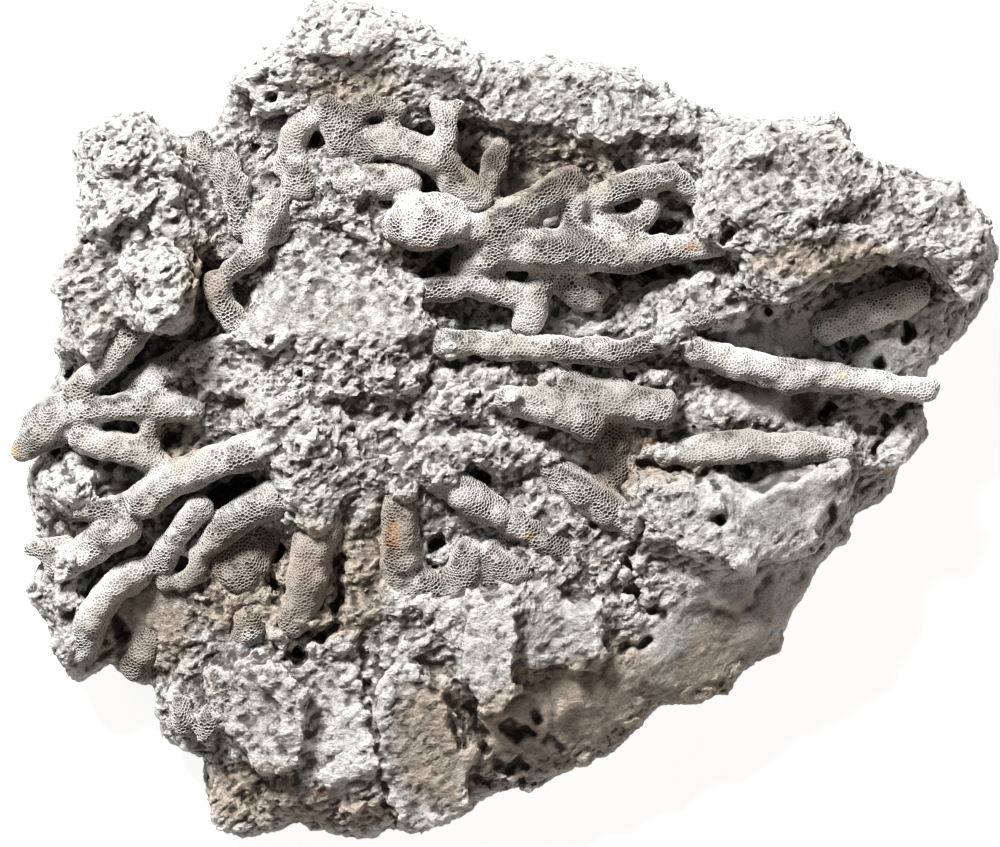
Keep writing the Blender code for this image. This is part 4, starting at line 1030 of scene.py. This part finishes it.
SHARPEST_COSINE = 0.5
LONGEST_WALL = 1.1 * MM


def sound_cells(coral):
    """Which cells are wide enough and even enough to hold a pit."""
    places = vertex_places(coral)
    corners = read(coral.data.loops, "vertex_index")
    starts = read(coral.data.polygons, "loop_start")
    totals = read(coral.data.polygons, "loop_total")
    following = np.arange(1, len(corners) + 1)
    following[starts + totals - 1] = starts
    before = np.empty(len(corners), dtype=int)
    before[following] = np.arange(len(corners))
    ahead = places[corners[following]] - places[corners]
    behind = places[corners[before]] - places[corners]
    length = np.linalg.norm(ahead, axis=1)
    spread = np.einsum("ij,ij->i", ahead, behind) / np.maximum(length * np.linalg.norm(behind, axis=1), 1e-12)
    sharpest = np.maximum.reduceat(spread, starts)
    longest = np.maximum.reduceat(length, starts)
    return (totals > 3) & (sharpest < SHARPEST_COSINE) & (longest < LONGEST_WALL)


# How the corallites weather: the width of the wall round each pit and the pit's depth, in millimetres, and
# how dark the painted shade in the pit's bottom is.
FRESH, WEATHERED, RUBBED = 1, 2, 3
PIT_FORMS = {FRESH: (0.165, 0.38), WEATHERED: (0.2, 0.22), RUBBED: (0.225, 0.13)}
PIT_SHADES = {FRESH: 1, WEATHERED: 0.85, RUBBED: 0.62}
WEATHERED_ABOVE = 0.08
RUBBED_ABOVE = 0.38
UNDERSIDE = -0.35
BURIED_BELOW = 1.3 * MM
BOTTOM = 10


def open_cells(coral, seed):
    """Sink a pit in each cell that is bare, deep where the coral is fresh and shallow where it is worn."""
    cells = coral.data.polygons
    centres = read(cells, "center", np.float32, 3)
    facing = read(cells, "normal", np.float32, 3)
    sound = sound_cells(coral)
    worn = zone(centres.astype(float), WORN)
    kinds = np.zeros(len(cells), dtype=np.int32)
    chance = np.random.default_rng(seed)
    for number, (centre, normal) in enumerate(zip(centres, facing)):
        if normal[2] < UNDERSIDE or not sound[number]:
            continue
        centre, normal = Vector(centre), Vector(normal)
        if stone_skin.ray_cast(centre + normal * 0.1 * MM, normal, BURIED_BELOW)[0] is not None:
            continue
        wear = (1.1 * noise.fractal(centre / (8 * MM), 1, 2, 3) + 0.6 * (normal.z - 0.6)
                + 0.12 * chance.normal() + 0.45 * worn[number])
        kinds[number] = RUBBED if wear > RUBBED_ABOVE else WEATHERED if wear > WEATHERED_ABOVE else FRESH
    coral.data.attributes.new("kind", "INT", "FACE").data.foreach_set("value", kinds)
    for kind, (wall, depth) in PIT_FORMS.items():
        marks = read(coral.data.attributes["kind"].data, "value")
        coral.data.vertices.foreach_set("select", np.zeros(len(coral.data.vertices), dtype=bool))
        coral.data.edges.foreach_set("select", np.zeros(len(coral.data.edges), dtype=bool))
        coral.data.polygons.foreach_set("select", marks == kind)
        only(coral)
        bpy.context.tool_settings.mesh_select_mode = (False, False, True)
        bpy.ops.object.mode_set(mode="EDIT")
        bpy.ops.mesh.inset(thickness=wall * MM, depth=-depth * MM, use_individual=True)
        bpy.ops.object.mode_set(mode="OBJECT")
        marks = read(coral.data.attributes["kind"].data, "value")
        bottoms = read(coral.data.polygons, "select", bool)
        marks[marks == kind] = 0
        marks[bottoms] = BOTTOM + kind
        coral.data.attributes["kind"].data.foreach_set("value", marks)
    shade = np.zeros(len(coral.data.vertices))
    for cell, mark in zip(coral.data.polygons, marks):
        if mark > BOTTOM:
            for corner in cell.vertices:
                shade[corner] = PIT_SHADES[mark - BOTTOM]
    coral.data.attributes.remove(coral.data.attributes["kind"])
    # The pit bottoms carry their painted shade for the material to read.
    store(coral, "pit", shade)


# The coral is a dull grey calcite, dusted with pale marl, with painted shade in its pits; the stone's stains,
# painted shade and painted light lie on it too.
CALCITE = (0.51, 0.50, 0.485)
DULL_CALCITE = (0.35, 0.325, 0.29)
DUST = (0.74, 0.735, 0.72)
DARK_SPECK = (0.22, 0.19, 0.16)
BROWN_CALCITE_AND_SHADE = (0.29, 0.235, 0.19)
BLEACHED_AND_PAINTED_LIGHT = (0.80, 0.79, 0.765)
CORAL_PAINTED_SHADE = (0.19, 0.16, 0.135)
PIT_SHADE_COLOUR = (0.06, 0.05, 0.042)

calcite = Finish("fossil_coral")
dull = calcite.mottle(9 * MM, 5, 0.6, 0.3)
specks = calcite.mottle(0.9 * MM, 5, 0.7)
coral_colour = calcite.paint(CALCITE, [
    (DULL_CALCITE, dull.between(0.4, 0.66) * 0.85),
    (DUST, specks.between(0.52, 0.7) * 0.5),
    (DARK_SPECK, (1 - specks.between(0.3, 0.45)) * 0.5),
    (BROWN_CALCITE_AND_SHADE, calcite.attribute("warmth") * 0.75),
    (BLEACHED_AND_PAINTED_LIGHT, calcite.attribute("paleness_and_painted_light") * 0.55),
    (CORAL_PAINTED_SHADE, calcite.attribute("painted_shade") * 0.45),
    (PIT_SHADE_COLOUR, calcite.attribute("pit").between(0.1, 0.95) * 0.92),
    (RUST, calcite.attribute("rusty") * specks.between(0.35, 0.6) * 0.9),
    (YELLOW_CLAY, calcite.attribute("ochre") * specks.between(0.3, 0.55) * 0.55),
])
coral_grain = calcite.mottle(0.5 * MM, 5, 0.75)
coral_bump = calcite.node("ShaderNodeBump", {},
                          {"Strength": 0.6, "Distance": 0.5 * MM, "Height": coral_grain}, "Normal")
calcite.set(Base_Color=coral_colour, Roughness=0.85, Normal=coral_bump)

# The branches in groups that grow together, each with the pads of coral (x, y, x radius, y radius, turn, and
# for some their rise and thickness) that spread on the stone beside it, in millimetres and degrees.
CORAL_GROUPS = {
    "coral_arches": (
        ["tall_arch_left_limb", "tall_arch_right_limb", "ring_left_half", "ring_right_half", "left_strut",
         "hooked_branch", "hollow_rim", "ring_bough", "ring_bough_stub", "ring_bough_tip"],
        [(-59.5, 53.5, 3, 5, 10), (-45, 58, 4, 3, 0), (-52, 46, 2.5, 4, 0), (-40, 48.5, 3.5, 5.5, 15),
         (-44.5, 38.5, 3, 4.5, 0), (-52, 23.5, 3.5, 4, 0), (-56.5, 51, 2, 6, 10, -0.4),
         (-53, 41.5, 2, 6, 12, -0.4)]),
    "coral_boughs": (
        ["main_bough", "crossing_bough", "crossing_bough_knob", "upright_strut", "claw_branch", "claw_stub",
         "bough_lump", "bough_web", "cross_bar", "inner_bar", "shelf_lobe", "shelf_arch"],
        [(16, 35.5, 5, 3, 0), (-14.5, 39.3, 8.5, 6.0, 4, 2.6, 4.6), (-31, 48, 3, 4, 20)]),
    "coral_left": (
        ["left_bough", "left_bough_fork", "left_bough_twig", "steep_branch", "sheltered_branch",
         "pointed_tip", "upper_finger", "lower_finger", "finger_link", "low_tip", "long_arch",
         "long_arch_spur"],
        [(-71, 7.5, 4, 2.8, 0), (-88, -0.5, 3, 4, 30), (-67.5, -31, 2.2, 3.6, 0, 0.2)]),
    "coral_lower_left": (
        ["free_finger", "drooping_arm", "buried_arm", "inner_sheet", "lower_knob", "upper_toe", "lower_toe",
         "smooth_column", "upright_strand", "cup_left_branch", "cup_right_branch"],
        [(-52.5, -28.5, 6, 6, 0), (-22, -30.5, 3, 4, 0), (-64.7, -59.5, 2.2, 4.6, 12, 0.4, 2.6),
         (-59.3, -61, 2.4, 4.6, -16, 0.4, 2.8)]),
    "coral_right": (
        ["centre_bough", "centre_bough_fork", "honeycomb_branch", "thin_ridge", "broad_branch",
         "blunt_finger", "coarse_branch", "low_patch", "long_finger", "flat_finger", "edge_branch"],
        [(22, -1.5, 3.5, 6, 20), (17, 4.5, 3, 3, 0), (40, 20, 2.6, 1.8, 10), (-2, -29.5, 4, 3.5, 0)]),
}
for seed, (name, (nodes, patches)) in enumerate(CORAL_GROUPS.items()):
    coral = grow_branches(name, nodes, patches)
    lay_honeycomb_grid(coral)
    open_cells(coral, seed)
    places = vertex_places(coral)
    store(coral, "warmth", zone(places, WARM_STAINS_AND_SHADE))
    for overlay, ovals in STAINS_AND_PAINTED_LIGHT.items():
        store(coral, overlay, zone(places, ovals))
    coral.data.shade_flat()
    coral.data.materials.clear()
    coral.data.materials.append(calcite.material)
    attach(coral, "root")
    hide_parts(*nodes)
